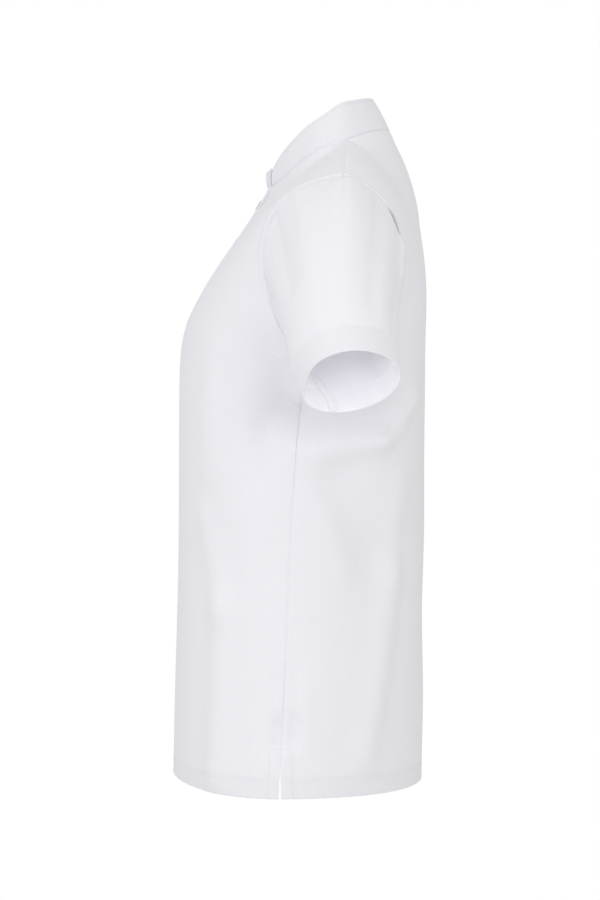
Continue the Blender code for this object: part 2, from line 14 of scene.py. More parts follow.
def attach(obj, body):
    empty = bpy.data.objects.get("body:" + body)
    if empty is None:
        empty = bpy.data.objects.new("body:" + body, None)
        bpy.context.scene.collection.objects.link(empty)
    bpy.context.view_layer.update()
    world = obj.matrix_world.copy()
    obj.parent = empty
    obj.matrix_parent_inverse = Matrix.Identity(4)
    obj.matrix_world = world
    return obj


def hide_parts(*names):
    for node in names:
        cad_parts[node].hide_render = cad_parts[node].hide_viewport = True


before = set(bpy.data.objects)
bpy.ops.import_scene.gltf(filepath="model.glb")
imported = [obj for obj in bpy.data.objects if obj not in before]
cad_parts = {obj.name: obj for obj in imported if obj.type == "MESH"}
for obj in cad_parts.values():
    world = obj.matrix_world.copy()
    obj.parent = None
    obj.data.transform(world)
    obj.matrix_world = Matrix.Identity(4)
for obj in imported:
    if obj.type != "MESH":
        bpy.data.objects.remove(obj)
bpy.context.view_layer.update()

# ---- cloth ----
PIQUE = 0.0011  # one layer of pique knit
BAND_LAYER = 0.00095  # one layer of the knit that collar and cuffs are folded from
BAND_GAP = 0.00015  # between the two layers of a folded band
HEM_DEEP = 0.0200  # the hem is turned up this far
HEM_STITCH = HEM_DEEP - 0.0020  # and stitched this far up
PIQUE_CELL = 0.0018  # real pique cells are near 1.4 mm; a little coarser here, so that they show
BAND_RIB = 0.0014  # the bands' wales, real ones near 1 mm, coarser for the same reason
YARN = 0.0012  # the yarn's own unevenness
THREAD_TWIST = 0.0005
WAVE_TURN = 0.314  # a wave texture's scale is this over the real distance from band to band
HEM_LOOSE = 0.00025  # how much rounder than the cloth is thick the hem's fold is

# ---- body: one row a level, from the hem to the shoulder ----
SIDE_SEAM = np.array([  # x, y, z; the last row is the underarm
    (0.1820, -0.0630, -0.6135),
    (0.1810, -0.0625, -0.5830),
    (0.1780, -0.0590, -0.5200),
    (0.1710, -0.0568, -0.4600),
    (0.1655, -0.0545, -0.4000),
    (0.1645, -0.0520, -0.3500),
    (0.1680, -0.0490, -0.3000),
    (0.1735, -0.0440, -0.2520),
    (0.1765, -0.0360, -0.2080),
])
ARMHOLE_FRONT = np.array([  # x, y, z, degrees that the section has turned through there
    (0.1752, -0.0535, -0.1950, 85),
    (0.1730, -0.0672, -0.1720, 79),
    (0.1692, -0.0745, -0.1450, 73),
    (0.1660, -0.0787, -0.1180, 67),
    (0.1662, -0.0740, -0.0880, 64),
    (0.1710, -0.0610, -0.0665, 66),
    (0.1790, -0.0360, -0.0520, 74),
    (0.1880, -0.0050, -0.0457, 82),
])
ARMHOLE_BACK = np.array([  # the same columns
    (0.1752, -0.0080, -0.2045, 84),
    (0.1705, 0.0220, -0.1900, 72),
    (0.1640, 0.0420, -0.1620, 58),
    (0.1620, 0.0490, -0.1300, 52),
    (0.1655, 0.0465, -0.1000, 54),
    (0.1740, 0.0355, -0.0740, 62),
    (0.1830, 0.0170, -0.0555, 73),
    (0.1880, -0.0050, -0.0457, 82),
])
FRONT_CENTRE = np.array([  # y, z down the middle of the front
    (-0.1677, -0.6080),
    (-0.1672, -0.5800),
    (-0.1660, -0.5180),
    (-0.1645, -0.4600),
    (-0.1632, -0.4000),
    (-0.1624, -0.3500),
    (-0.1619, -0.3000),
    (-0.1617, -0.2520),
    (-0.1609, -0.2120),
    (-0.1578, -0.1850),
    (-0.1505, -0.1640),
    (-0.1400, -0.1440),
    (-0.1272, -0.1230),
    (-0.1132, -0.1010),
    (-0.0988, -0.0790),
    (-0.0860, -0.0580),
    (-0.0750, -0.0388),
])
BACK_CENTRE = np.array([  # y, z down the middle of the back
    (0.0744, -0.6155),
    (0.0746, -0.5850),
    (0.0753, -0.5200),
    (0.0757, -0.4600),
    (0.0758, -0.4000),
    (0.0760, -0.3500),
    (0.0764, -0.3000),
    (0.0764, -0.2520),
    (0.0765, -0.2100),
    (0.0768, -0.1850),
    (0.0772, -0.1580),
    (0.0770, -0.1300),
    (0.0757, -0.1040),
    (0.0733, -0.0780),
    (0.0690, -0.0510),
    (0.0590, -0.0190),
    (0.0431, 0.0157),
])
# How square each level's section is, where 2 is an ellipse: the back is broader than the front.
FRONT_SQUARE = (2.1, 2.1, 2.1, 2.15, 2.3, 2.6, 2.8, 2.75, 2.6, 2.5, 2.45, 2.4, 2.35, 2.3, 2.3, 2.3, 2.3)
BACK_SQUARE = (2.05, 2.05, 2.05, 2.1, 2.2, 2.4, 2.6, 2.9, 3.2, 3.3, 3.2, 3.0, 2.8, 2.6, 2.5, 2.4, 2.4)
VENT_ROW, UNDERARM_ROW, PLACKET_ROW, TOP_ROW = 1, 8, 10, 16
VENT_TALL, VENT_FACING = 0.0425, 0.0105  # how far the stitches of a vent's facing reach
VENT_HALF_GAPE = 0.0011
UNDERARM_EASE, UNDERARM_EASE_ROWS = 1.5, 3.0  # rows that the underarm's corner is rounded over
EASE_STEPS, EASE_COLUMNS = 7, 0.22  # samples of that rounding, and how near the edge it ends
SHOULDER_LIFT_POWER, SHOULDER_LIFT_FROM = 2.5, 10.0
SHOULDER_LIFT_SOFT = 0.16  # columns that the lift's corners are softened over
SHOULDER_CROWN = 0.0030  # how far the shoulder seam bows up between its ends

# ---- neckline and collar: one row a station, from the middle back to the middle front ----
NECK = np.array([  # x, y, z of the seam, then x, y, z of the collar's top edge
    (0.0000, 0.0431, 0.0157, 0.0000, 0.0262, 0.0490),
    (0.0150, 0.0422, 0.0155, 0.0130, 0.0254, 0.0485),
    (0.0380, 0.0345, 0.0132, 0.0320, 0.0205, 0.0460),
    (0.0600, 0.0195, 0.0080, 0.0500, 0.0085, 0.0420),
    (0.0750, 0.0000, 0.0000, 0.0620, -0.0060, 0.0375),
    (0.0765, -0.0205, -0.0060, 0.0635, -0.0225, 0.0260),
    (0.0680, -0.0370, -0.0140, 0.0570, -0.0385, 0.0155),
    (0.0500, -0.0535, -0.0270, 0.0440, -0.0540, 0.0020),
    (0.0300, -0.0660, -0.0355, 0.0275, -0.0655, -0.0105),
    (0.0150, -0.0728, -0.0382, 0.0145, -0.0722, -0.0210),
    (0.0000, -0.0750, -0.0388, 0.0000, -0.0760, -0.0225),
])
SHOULDER_STATION = 4
NECK_SHARE = 5 / 14  # of the columns between the placket's edge and the armhole
COLLAR_SWELL = 0.0012
COLLAR_THICK = 0.0021
COLLAR_STITCH_TOP, COLLAR_STITCH_FOOT = 0.0036, 0.0016  # below the fold, and above the seam

# ---- placket and buttons ----
PLACKET_HALF = 0.0150
PLACKET_OVER_EDGE, PLACKET_OVER_FOLD = 0.0165, -0.0185
PLACKET_UNDER_EDGES = (-0.0165, 0.0215)
PLACKET_CLOTH = 0.0011
PLACKET_TOP, PLACKET_TOP_DROP = TOP_ROW - 0.06, 0.0018  # its first row, and how far below the seam
PLACKET_TROUGH = 0.0012  # between its edges the upper band sinks into the slit by this much
LAY_GAP = 0.0003
BUTTON_DROPS = (0.020, 0.062, 0.104)
BUTTON_RADIUS, BUTTON_THICK = 0.0055, 0.0014
BUTTON_STAND = 0.00035  # off the band's face
HOLE_SPREAD, HOLE_RADIUS = 0.0013, 0.00062  # the button's four holes, off its middle
BUTTONHOLE_HALF, BUTTONHOLE_LIPS = 0.0072, (0.00025, 0.00125)
BUTTON_THREAD, BUTTONHOLE_THREAD = 0.00021, 0.00014  # the thread's radius
STITCH_IN = 0.0026  # the placket is stitched this far inside its edges
BOX_TALL = 0.0150

# ---- sleeve and cuff ----
SLEEVE_OUT, SLEEVE_BACK = 32.5, 8.0
CUFF_MIDDLE = np.array((0.2548, -0.0018, -0.2350))
CUFF_RADII = (0.0462, 0.0482)
CUFF_WIDTH, CUFF_TAPER, CUFF_PROUD = 0.0250, 1.045, 0.0009
CUFF_DENT = 78.0, 40.0, 0.0060  # the open end is pressed in about this turn, this wide, this deep
UNDERARM_TURN = 172.0
SLEEVE_RADIUS, SLEEVE_RUN = 0.060, 0.16  # its mean, for folds given by turn and share of length
SLEEVE_END = CUFF_WIDTH - 0.001  # the sleeve ends this far up from the open end
RING_STEPS = 84, 88  # points of a sleeve's rings ahead of and behind the shoulder
ALLOWANCE_TURNS = 165.5, 151.0  # the underarm seam's place inside, at the cuff's edge and far up
ALLOWANCE_REACH, ALLOWANCE_WIDE, ALLOWANCE_THICK = 0.052, 0.0084, 0.0011
ALLOWANCE_FROM, ALLOWANCE_CLEAR = 0.0012, 0.0016  # off the open end, and off the cuff's seam
CAP_SLOPE = np.array((0.90, 0.0, -0.44))

# ---- folds: a bump or a hollow about a line ----
MAIN_FOLDS = np.array([  # from x, y, z to x, y, z, half width, height (below 0 for a hollow)
    (0.175, -0.059, -0.204, 0.174, -0.055, -0.250, 0.0260, -0.0170),
    (0.167, -0.093, -0.224, 0.172, -0.072, -0.259, 0.0420, -0.0070),
    (0.173, -0.038, -0.261, 0.151, 0.033, -0.269, 0.0150, -0.0125),
    (0.127, 0.057, -0.246, 0.151, 0.030, -0.281, 0.0160, 0.0090),
    (0.151, 0.030, -0.281, 0.167, -0.025, -0.298, 0.0150, 0.0072),
    (0.160, -0.002, -0.325, 0.139, 0.024, -0.387, 0.0310, -0.0085),
    (0.122, 0.047, -0.332, 0.121, 0.040, -0.411, 0.0150, 0.0035),
    (0.121, 0.040, -0.411, 0.150, 0.016, -0.573, 0.0170, 0.0060),
    (0.139, -0.126, -0.207, 0.140, -0.129, -0.312, 0.0180, 0.0025),
    (0.162, -0.080, -0.360, 0.168, -0.068, -0.442, 0.0400, 0.0030),
    (0.131, -0.132, -0.360, 0.145, -0.117, -0.442, 0.0150, 0.0040),
    (0.145, -0.117, -0.442, 0.151, -0.124, -0.598, 0.0170, 0.0048),
])
SMALL_FOLDS = np.array([  # the same columns; soft creases too shallow for the solids
    (0.168, -0.079, -0.276, 0.164, -0.078, -0.317, 0.0100, -0.0024),
    (0.168, -0.043, -0.302, 0.155, -0.002, -0.403, 0.0120, 0.0028),
    (0.178, -0.066, -0.508, 0.180, -0.064, -0.560, 0.0075, -0.0020),
    (0.179, -0.065, -0.545, 0.180, -0.064, -0.564, 0.0060, -0.0030),
    (0.178, -0.050, -0.490, 0.180, -0.050, -0.560, 0.0070, -0.0020),
    (0.179, -0.050, -0.542, 0.180, -0.050, -0.564, 0.0060, -0.0034),
    (0.176, -0.040, -0.514, 0.178, -0.040, -0.563, 0.0060, 0.0008),
    (0.060, -0.150, -0.205, 0.120, -0.115, -0.185, 0.0160, -0.0010),
    (0.080, -0.006, -0.004, 0.074, -0.028, -0.016, 0.0070, -0.0004),
    (0.077, 0.008, -0.002, 0.090, 0.030, -0.014, 0.0060, -0.0004),
])
ARMHOLE_CALM = 0.014  # folds fade out this near to an armhole
TUCK_SPAN, TUCK_DEPTH, TUCK_WIDE = (-0.0735, -0.0985), 0.0105, 0.0018  # z from and to
TUCK_FROM, TUCK_WAY = 0.12, np.array((1.0, 0.3, 0.0))  # only past this x, inwards along this line
SLEEVE_FOLDS = np.array([  # degrees round and share of the length, twice; half width, height
    (36, 0.05, 30, 0.62, 0.012, 0.0018),
    (62, 0.05, 56, 0.58, 0.012, -0.0034),
    (88, 0.05, 80, 0.45, 0.011, 0.0014),
    (118, 0.02, 100, 0.75, 0.010, -0.0016),
    (140, 0.10, 128, 0.95, 0.009, 0.0014),
    (-12, 0.04, -14, 0.50, 0.011, 0.0016),
    (-33, 0.10, -31, 0.80, 0.009, -0.0014),
    (-44, 0.15, -42, 0.92, 0.008, 0.0010),
    (-70, 0.03, -76, 0.22, 0.006, 0.0036),
    (-72, 0.30, -68, 0.95, 0.009, -0.0018),
    (-126, 0.05, -105, 0.80, 0.010, -0.0018),
    (-150, 0.15, -135, 0.95, 0.009, 0.0014),
])
RIGHT_SIDE_SHARE = 0.85
RIGHT_SIDE_SLIP = np.array((0.0, 0.004, -0.009))  # the right side's small creases sit lower

# ---- relief of the sewing: height or depth, half width, and where it is if not at the edge ----
SEAM_DIP, PUCKER = (-0.00008, 0.0010), (0.00035, 0.0070)
SEAM_SWELL, ARMHOLE_RIDGE = (0.0003, 0.0030, 0.0045), (0.0014, 0.0020, 0.0024)  # over allowances
HEM_DENT = (-0.0001, 0.0014, HEM_STITCH)
VENT_LIFT, VENT_STEP = 0.0008, 0.0016  # the facing behind a vent's edge, and how softly it ends
SLEEVE_CALM = 0.0012, 0.004  # the sleeve's relief falls to nothing this near armhole and cuff
CAP_DIP, CAP_PUCKER, SLEEVE_END_PUCKER = (-0.0005, 0.0012, 0.0010), (0.0004, 0.006, 0.004), (0.0003, 0.006)
CUFF_PUCKER, CUFF_SEAM_DIP = (0.00022, 0.006), (-0.0005, 0.0010)
COLLAR_SEAM_DIP, COLLAR_STITCH_DIP = (-0.0004, 0.0012), (-0.0002, 0.0008, COLLAR_STITCH_TOP)
CUFF_SOFT, COLLAR_RIPPLE = 0.0006, 0.0004  # heights of the slow waves along the bands
PLACKET_ROUND, PLACKET_STITCH_DIP = (-0.0009, 0.0008), (-0.0003, 0.0007, STITCH_IN)
PLACKET_FOOT_DIP, PLACKET_RIPPLE = (-0.0008, 0.0010), (0.00025, 0.004)
TROUGH_SPAN, TROUGH_SOFT = (-0.0118, 0.0098), 0.0012  # x from and to, and how softly it ends
TROUGH_FROM, TROUGH_EASE = 0.016, 0.010  # up from the placket's foot
BODY_WAVES, SLEEVE_WAVES, PLACKET_WAVES = 0.0022, 0.0012, 0.0006  # unevenness of the cloth
WAVES, WAVE_TURNS, WAVE_SLANT = 7, (28, 75), (1.0, 1.0, 0.45)  # how many, radians a metre, way
PUCKER_TURNS, SLEEVE_PUCKER_TURNS = (410, 97, 233), (380, 91)  # radians a metre along a seam
COLLAR_RIPPLE_TURNS, PLACKET_RIPPLE_TURNS = (61, 23), (170, 60)

# ---- grids, stitches and the button's outline ----
NEAR_EDGE = np.array((0.0005, 0.0011, 0.0019, 0.0030, 0.0045))  # extra lines beside a seam
HEM_ROW_TALL, TOP_ROW_TALL, LAST_COLUMN_WIDE = 0.0300, 0.027, 0.24  # metres for a row or column
STITCH_RINGS = np.array([  # along the stitch as a share of its length, how thick, how high
    (-0.50, 0.35, -0.60),
    (-0.36, 0.90, 0.10),
    (0.00, 1.00, 0.35),
    (0.36, 0.90, 0.10),
    (0.50, 0.35, -0.60),
])
BUTTON_PROFILE = np.array([  # radius and height, as shares of the button's own
    (0.00, 0.00), (0.80, 0.00), (0.94, 0.08), (1.00, 0.30), (1.00, 0.62), (0.96, 0.86),
    (0.86, 1.00), (0.77, 0.98), (0.70, 0.80), (0.62, 0.66), (0.40, 0.60), (0.00, 0.58),
])

# ---- studio ----
FLOOR_LEVEL, FLOOR_RADIUS = -1.25, 2.4
SURROUND_LIGHT = 0.628
CAMERA_AWAY, CAMERA_AT = 2.60, (-0.0447, -0.2950)  # from the middle plane, and y, z of its line
METRES_PER_PIXEL, PICTURE_HEIGHT = 0.00098, 900  # in the middle plane
LIT_POINT = (0.0, -0.04, -0.30)  # the lamps point at the chest
LAMPS = (  # name, place, size, power, colour
    ("camera_side", (3.2, -0.1, 0.5), 1.8, 10.4, "#FAF9FF"),
    ("near_side", (1.5, -0.5, -0.3), 0.8, 1.15, "#FFFFFF"),
    ("behind", (2.0, 1.6, 0.45), 1.6, 8.4, "#FFFFFF"),
    ("near_back", (0.8, 1.5, 0.6), 1.2, 1.0, "#FFFFFF"),
    ("above", (1.3, -0.2, 2.3), 1.8, 4.6, "#FFFFFF"),
    ("below", (2.4, -0.3, -1.1), 1.8, 0.6, "#FFFFFF"),
    ("front", (1.2, -1.5, -0.1), 1.0, 3.4, "#FAF9FF"),
    ("high_front", (0.5, -1.3, 1.1), 1.2, 3.5, "#FFFFFF"),
)
LAMPS_INSIDE = (  # on the left: name, place, power, radius
    ("cuff", (0.2467, -0.0040, -0.2224), 0.021, 0.015),
    ("sleeve", (0.215, -0.010, -0.165), 0.0145, 0.02),
)
LIGHT_THROUGH = 0.15  # the share of light that enters the knit and scatters in it
SIDES = (("left", 1), ("right", -1))


# ---- small numpy tools ----
def smooth_through(table, at, beyond=None):
    """A smooth curve through a table's rows, read at fractional row numbers (Catmull-Rom). It
    leaves its last row towards `beyond`, or straight on."""
    table = np.asarray(table, float)
    table = table.reshape(len(table), -1)
    beyond = 2 * table[-1] - table[-2] if beyond is None else beyond
    at = np.asarray(at, float)
    last = len(table) - 1
    start = np.clip(np.floor(at).astype(int), 0, last - 1)
    t = (at - start)[..., None]
    ends = np.vstack([2 * table[0] - table[1], table, beyond])
    a, b, c, d = (ends[start + step] for step in range(4))
    return b + 0.5 * t * (c - a + t * (2 * a - 5 * b + 4 * c - d + t * (3 * (b - c) + d - a)))


def unit(vectors):
    return vectors / np.maximum(np.linalg.norm(vectors, axis=-1, keepdims=True), 1e-12)


def grid_normals(grid, ring=False):
    """Unit normals of a grid of points. A ring's last column is followed by its first."""
    if ring:
        across = np.roll(grid, -1, axis=1) - np.roll(grid, 1, axis=1)
    else:
        across = np.gradient(grid, axis=1)
    return unit(np.cross(across, np.gradient(grid, axis=0)))


def lengths(grid, axis):
    """Running length along the grid's rows or columns, starting from 0."""
    steps = np.linalg.norm(np.diff(grid, axis=axis), axis=-1)
    start = np.zeros_like(np.take(steps, [0], axis=axis))
    return np.cumsum(np.concatenate([start, steps], axis=axis), axis=axis)


def bump(distance, half_width):
    """A bell: 1 at a distance of 0 and 1/e at the half width."""
    return np.exp(-((distance / half_width) ** 2))


def ridge(distance, height, half_width, at=0.0):
    """One relief of the sewing: a line raised or sunk beside an edge, read at a distance from it."""
    return height * bump(distance - at, half_width)


def read_line(values, run, at):
    """A line's values at lengths along its run."""
    return np.stack([np.interp(at, run, values[:, k]) for k in range(values.shape[1])], -1)


def closed_run(ring):
    """A ring of points with its first again at its end, and the running length along it."""
    closed = np.concatenate([ring, ring[:1]])
    return closed, lengths(closed, 0)


def ring_run(grid):
    """The running length round each ring of a grid, its last column back at the first."""
    return lengths(np.concatenate([grid, grid[:, :1]], axis=1), 1)


# ---- the body's surface ----
def top_edge(is_front, columns):
    """The neckline from the middle to the shoulder seam, and on down that seam to the armhole."""
    stations = len(NECK) - 1
    middle, beside = (stations, stations - 1) if is_front else (0, 1)
    corner = 1 + NECK_SHARE
    station = np.interp(columns, (0, 1, corner), (middle, beside, SHOULDER_STATION))
    neckline = smooth_through(NECK[:, :3], station)
    along = np.clip((columns - corner) / (2 - corner), 0, 1)[:, None]
    shoulder = NECK[SHOULDER_STATION, :3] * (1 - along) + ARMHOLE_FRONT[-1, :3] * along
    shoulder[:, 2] += SHOULDER_CROWN * np.sin(np.pi * along[:, 0])
    return np.where((columns <= corner)[:, None], neckline, shoulder)


def side_edge(is_front, rows):
    """The side seam, then the armhole, which runs smoothly over the shoulder to its other half."""
    near, far = (ARMHOLE_FRONT, ARMHOLE_BACK) if is_front else (ARMHOLE_BACK, ARMHOLE_FRONT)
    side = np.column_stack([SIDE_SEAM, np.full(len(SIDE_SEAM), 90.0)])
    over = np.append(far[-2, :3], 2 * near[-1, 3] - near[-2, 3])
    armhole = smooth_through(np.vstack([side[-1:], near]), np.maximum(rows - UNDERARM_ROW, 0), over)
    side = smooth_through(side, np.minimum(rows, UNDERARM_ROW))
    return np.where((rows > UNDERARM_ROW)[:, None], armhole, side)


def eased_edge(is_front, rows):
    """The side edge with its corner at the underarm rounded off, for the cloth away from it: a
    weighted mean of the edge over the rows around."""
    reach = UNDERARM_EASE * np.clip(1 - np.abs(rows - UNDERARM_ROW) / UNDERARM_EASE_ROWS, 0, 1)
    steps = np.linspace(-1, 1, EASE_STEPS)
    shares = (1 - steps**2 / 2) / np.sum(1 - steps**2 / 2)
    return sum(share * side_edge(is_front, rows + step * reach) for step, share in zip(steps, shares))


def level_arcs(is_front, rows, columns):
    """Arcs from the middle of a panel to its side edge. The underarm's corner bends only the part
    of them that lies near it."""
    beside = bump(2 - columns, EASE_COLUMNS)[:, None]
    crisp = arcs_to(side_edge(is_front, rows), is_front, rows, columns)
    eased = arcs_to(eased_edge(is_front, rows), is_front, rows, columns)
    return crisp * beside + eased * (1 - beside)


def arcs_to(edge, is_front, rows, columns):
    """Arcs from a panel's middle to an edge: x and y are powers of the sine and cosine of an
    angle that grows along the row, as on a rounded rectangle, and z bends from middle to edge."""
    centre = smooth_through(FRONT_CENTRE if is_front else BACK_CENTRE, rows)
    power = 2 / smooth_through(FRONT_SQUARE if is_front else BACK_SQUARE, rows)
    turned = np.radians(np.minimum(edge[:, 3:], 90.0))
    first = np.arcsin((PLACKET_HALF / edge[:, :1]) ** (1 / power) * np.sin(turned))
    angle = np.where(columns < 1, first * columns, first + (turned - first) * (columns - 1))
    out = (np.sin(angle) / np.sin(turned)) ** power
    rest = np.abs(np.cos(turned)) ** power
    forward = (np.abs(np.cos(angle)) ** power - rest) / (1 - rest)
    x = edge[:, :1] * out
    y = edge[:, 1:2] + (centre[:, :1] - edge[:, 1:2]) * forward
    z = centre[:, 1:] + (edge[:, 2:3] - centre[:, 1:]) * out**2
    return np.stack([x, y, z], axis=-1)


def half_panel(is_front, rows, columns):
    """The panel's half at +X: its arcs, lifted towards the top until they meet the top edge. The
    lift is softened along the row, and only its last part is as crisp as the edge itself."""
    fine = np.linspace(0, 2, 241)
    lift = top_edge(is_front, fine) - level_arcs(is_front, np.array([TOP_ROW]), fine)[0]
    weight = bump(fine[:, None] - fine, SHOULDER_LIFT_SOFT)
    soft = weight @ lift / weight.sum(axis=1, keepdims=True)
    soft *= np.sin(np.pi * fine / 2)[:, None] ** 0.5
    rise = np.clip((rows - SHOULDER_LIFT_FROM) / (TOP_ROW - SHOULDER_LIFT_FROM), 0, 1)
    rise = (rise**SHOULDER_LIFT_POWER)[:, None, None]
    crisp = rise**4
    lifted = read_line(soft, fine, columns) * (1 - crisp) + read_line(lift, fine, columns) * crisp
    return level_arcs(is_front, rows, columns) + rise * lifted


def fold_height(points, folds, side, slip=(0, 0, 0)):
    """How far folds lift the cloth: each is a bell about a line, as deep as its own height."""
    share = 1.0 if side > 0 else RIGHT_SIDE_SHARE
    total = np.zeros(points.shape[:-1])
    for x0, y0, z0, x1, y1, z1, half_width, height in folds:
        start, end = np.array((side * x0, y0, z0)) + slip, np.array((side * x1, y1, z1)) + slip
        run = end - start
        along = np.clip((points - start) @ run / (run @ run), 0, 1)
        away = np.linalg.norm(points - start - along[..., None] * run, axis=-1)
        total += share * height * bump(away, half_width)
    return total


def all_folds(points):
    """The main folds of both sides, and the small ones, which sit a little lower on the right."""
    total = sum(fold_height(points, MAIN_FOLDS, side) for side in (1.0, -1.0))
    total += fold_height(points, SMALL_FOLDS, 1.0)
    return total + fold_height(points, SMALL_FOLDS, -1.0, RIGHT_SIDE_SLIP)


def away_from(points, line):
    """How far each point is from the nearest point of a line."""
    flat = points.reshape(-1, 3)
    gaps = flat[:, None] - line[None]
    return np.sqrt((gaps**2).sum(axis=-1).min(axis=1)).reshape(points.shape[:-1])


def soft_waves(points, height, seed):
    """Slow unevenness of hanging cloth: a few sine waves of unlike lengths and directions."""
    numbers = np.random.default_rng(seed)
    total = np.zeros(points.shape[:-1])
    for _ in range(WAVES):
        direction = unit(numbers.normal(size=3) * WAVE_SLANT)
        total += np.sin(points @ direction * numbers.uniform(*WAVE_TURNS) + numbers.uniform(0, 6.3))
    return total * height / WAVES


def seam_relief(distance, run):
    """A sewn edge: it dips into the seam, swells over the allowance and puckers along its run."""
    fine, slow, between = (run * turns for turns in PUCKER_TURNS)
    wave = np.sin(fine) * np.sin(slow + 1.0) + 0.5 * np.sin(between + 2.0)
    return ridge(distance, *SEAM_DIP) + ridge(distance, *SEAM_SWELL) + wave * ridge(distance, *PUCKER)


# ---- grids ----
def fine_rows():
    """Row numbers from the hem to the top, closer at the hem's stitches and beside the seams."""
    runs = [
        np.linspace(0, VENT_ROW, 11),
        np.linspace(VENT_ROW, UNDERARM_ROW, 78),
        np.linspace(UNDERARM_ROW, PLACKET_ROW, 14),
        np.linspace(PLACKET_ROW, TOP_ROW, 48),
        TOP_ROW - NEAR_EDGE / TOP_ROW_TALL,
        HEM_STITCH / HEM_ROW_TALL + np.array((-0.05, 0.0, 0.05, 0.10)),
    ]
    return np.unique(np.round(np.concatenate(runs), 6))


def fine_columns():
    """Column numbers of half a panel, closer beside the side seam and the armhole."""
    corner = 1 + NECK_SHARE
    near_side = 2 - NEAR_EDGE / LAST_COLUMN_WIDE
    runs = [(0.0, 0.5), np.linspace(1, corner, 22), np.linspace(corner, 2, 46), near_side]
    return np.unique(np.round(np.concatenate(runs), 6))


def bare_panel(is_front, rows, columns):
    """The whole panel before its relief, with its lower side edges parted at the vents."""
    half = half_panel(is_front, rows, columns)
    part = np.clip(1 - rows / VENT_ROW, 0, 1)[:, None] * bump(2 - columns, 0.05)
    half[..., 1] += (-1 if is_front else 1) * VENT_HALF_GAPE * part
    grid = np.concatenate([half[:, :0:-1] * (-1, 1, 1), half], axis=1)
    return grid if is_front else grid[:, ::-1]


def dressed_panels(rows, columns):
    """Front and back with folds, waves and seam relief. Their shared edges move the same way."""
    front, back = bare_panel(True, rows, columns), bare_panel(False, rows, columns)
    out_front, out_back = grid_normals(front), grid_normals(back)
    body = rows <= UNDERARM_ROW
    for of_front, of_back in ((-1, 0), (0, -1)):
        shared = unit(out_front[body, of_front] + out_back[body, of_back])
        out_front[body, of_front], out_back[body, of_back] = shared, shared
    corner = len(columns) - 1 - np.searchsorted(columns, 1 + NECK_SHARE)
    for shoulder in (np.arange(corner + 1), -1 - np.arange(corner + 1)):
        shared = unit(out_front[-1, shoulder] + out_back[-1, ::-1][shoulder])
        out_front[-1, shoulder] = shared
        out_back[-1, ::-1][shoulder] = shared
    ring = armhole_ring(front, back, rows)[0]
    sewn = np.clip((rows - 0.85) / 0.2, 0, 1)[:, None]  # falls to 0 where the vents part the edges
    done = []
    for grid, outward, seed in ((front, out_front, 3), (back, out_back, 8)):
        across, up = lengths(grid, 1), lengths(grid, 0)
        from_arm = away_from(grid * np.sign(grid[..., :1] + 1e-9) ** (1, 0, 0), ring)
        height = all_folds(grid) * (1 - bump(from_arm, ARMHOLE_CALM)) + soft_waves(grid, BODY_WAVES, seed)
        height += ridge(from_arm, *ARMHOLE_RIDGE)
        for from_side in (across, across[:, -1:] - across):
            height += seam_relief(from_side, up) * sewn + vent_relief(up, from_side)
        height += seam_relief(up[-1:] - up, across) + ridge(up, *HEM_DENT)
        done.append((grid + outward * height[..., None], outward))
    return done


def vent_relief(up, from_edge):
    """The facing behind a vent's edge lifts the cloth a little, as far as its stitches."""
    past, above = np.tanh((from_edge - VENT_FACING) / VENT_STEP), np.tanh((up - VENT_TALL) / VENT_STEP)
    return VENT_LIFT * (1 - past) * (1 - above) / 4


# ---- sleeve surface ----
def sleeve_axes():
    """The sleeve's own directions: along the arm, towards the back, and outwards."""
    lean_out, lean_back = np.radians((SLEEVE_OUT, SLEEVE_BACK))
    along = unit(np.array((np.sin(lean_out), np.sin(lean_back), -np.cos(lean_out))))
    backward = unit(np.array((0.0, 1.0, 0.0)) - along * along[1])
    return along, backward, np.cross(along, backward)


def cuff_ring(turns, distance, proud=0.0):
    """A ring of the cuff, this far up from its open end: an ellipse about the arm's line."""
    along, backward, outward = sleeve_axes()
    angle = np.radians(turns)[:, None]
    swell = 1 + (CUFF_TAPER - 1) * distance / CUFF_WIDTH
    middle = CUFF_MIDDLE - along * distance
    turn, wide, deep = CUFF_DENT
    dent = deep * bump(turns - turn, wide)[:, None] * np.clip(1 - distance / CUFF_WIDTH, 0, 1)
    front_to_back, in_to_out = (swell * radius + proud - dent for radius in CUFF_RADII)
    return middle + np.cos(angle) * in_to_out * outward - np.sin(angle) * front_to_back * backward


def armhole_ring(front, back, rows):
    """The left armhole's seam line, from the shoulder forwards and round under the arm."""
    count = int((rows >= UNDERARM_ROW).sum())
    return np.concatenate([front[::-1][:count, -1], back[-count + 1 : -1, 0]]), count - 1


def even_ring(ring, under):
    """The same line read at even steps, from the shoulder to the underarm and on to the shoulder."""
    closed, run = closed_run(ring)
    ahead, behind = RING_STEPS
    down = np.linspace(0, run[under], ahead + 1)
    back_up = np.linspace(run[under], run[-1], behind + 1)[1:-1]
    return read_line(closed, run, np.append(down, back_up)), ahead


def turns_round(ring, under):
    """Degrees round the cuff for each point of the armhole, by its share of the way round."""
    run = closed_run(ring)[1]
    return np.interp(run[:-1], (0, run[under], run[-1]), (0, UNDERARM_TURN, 360))


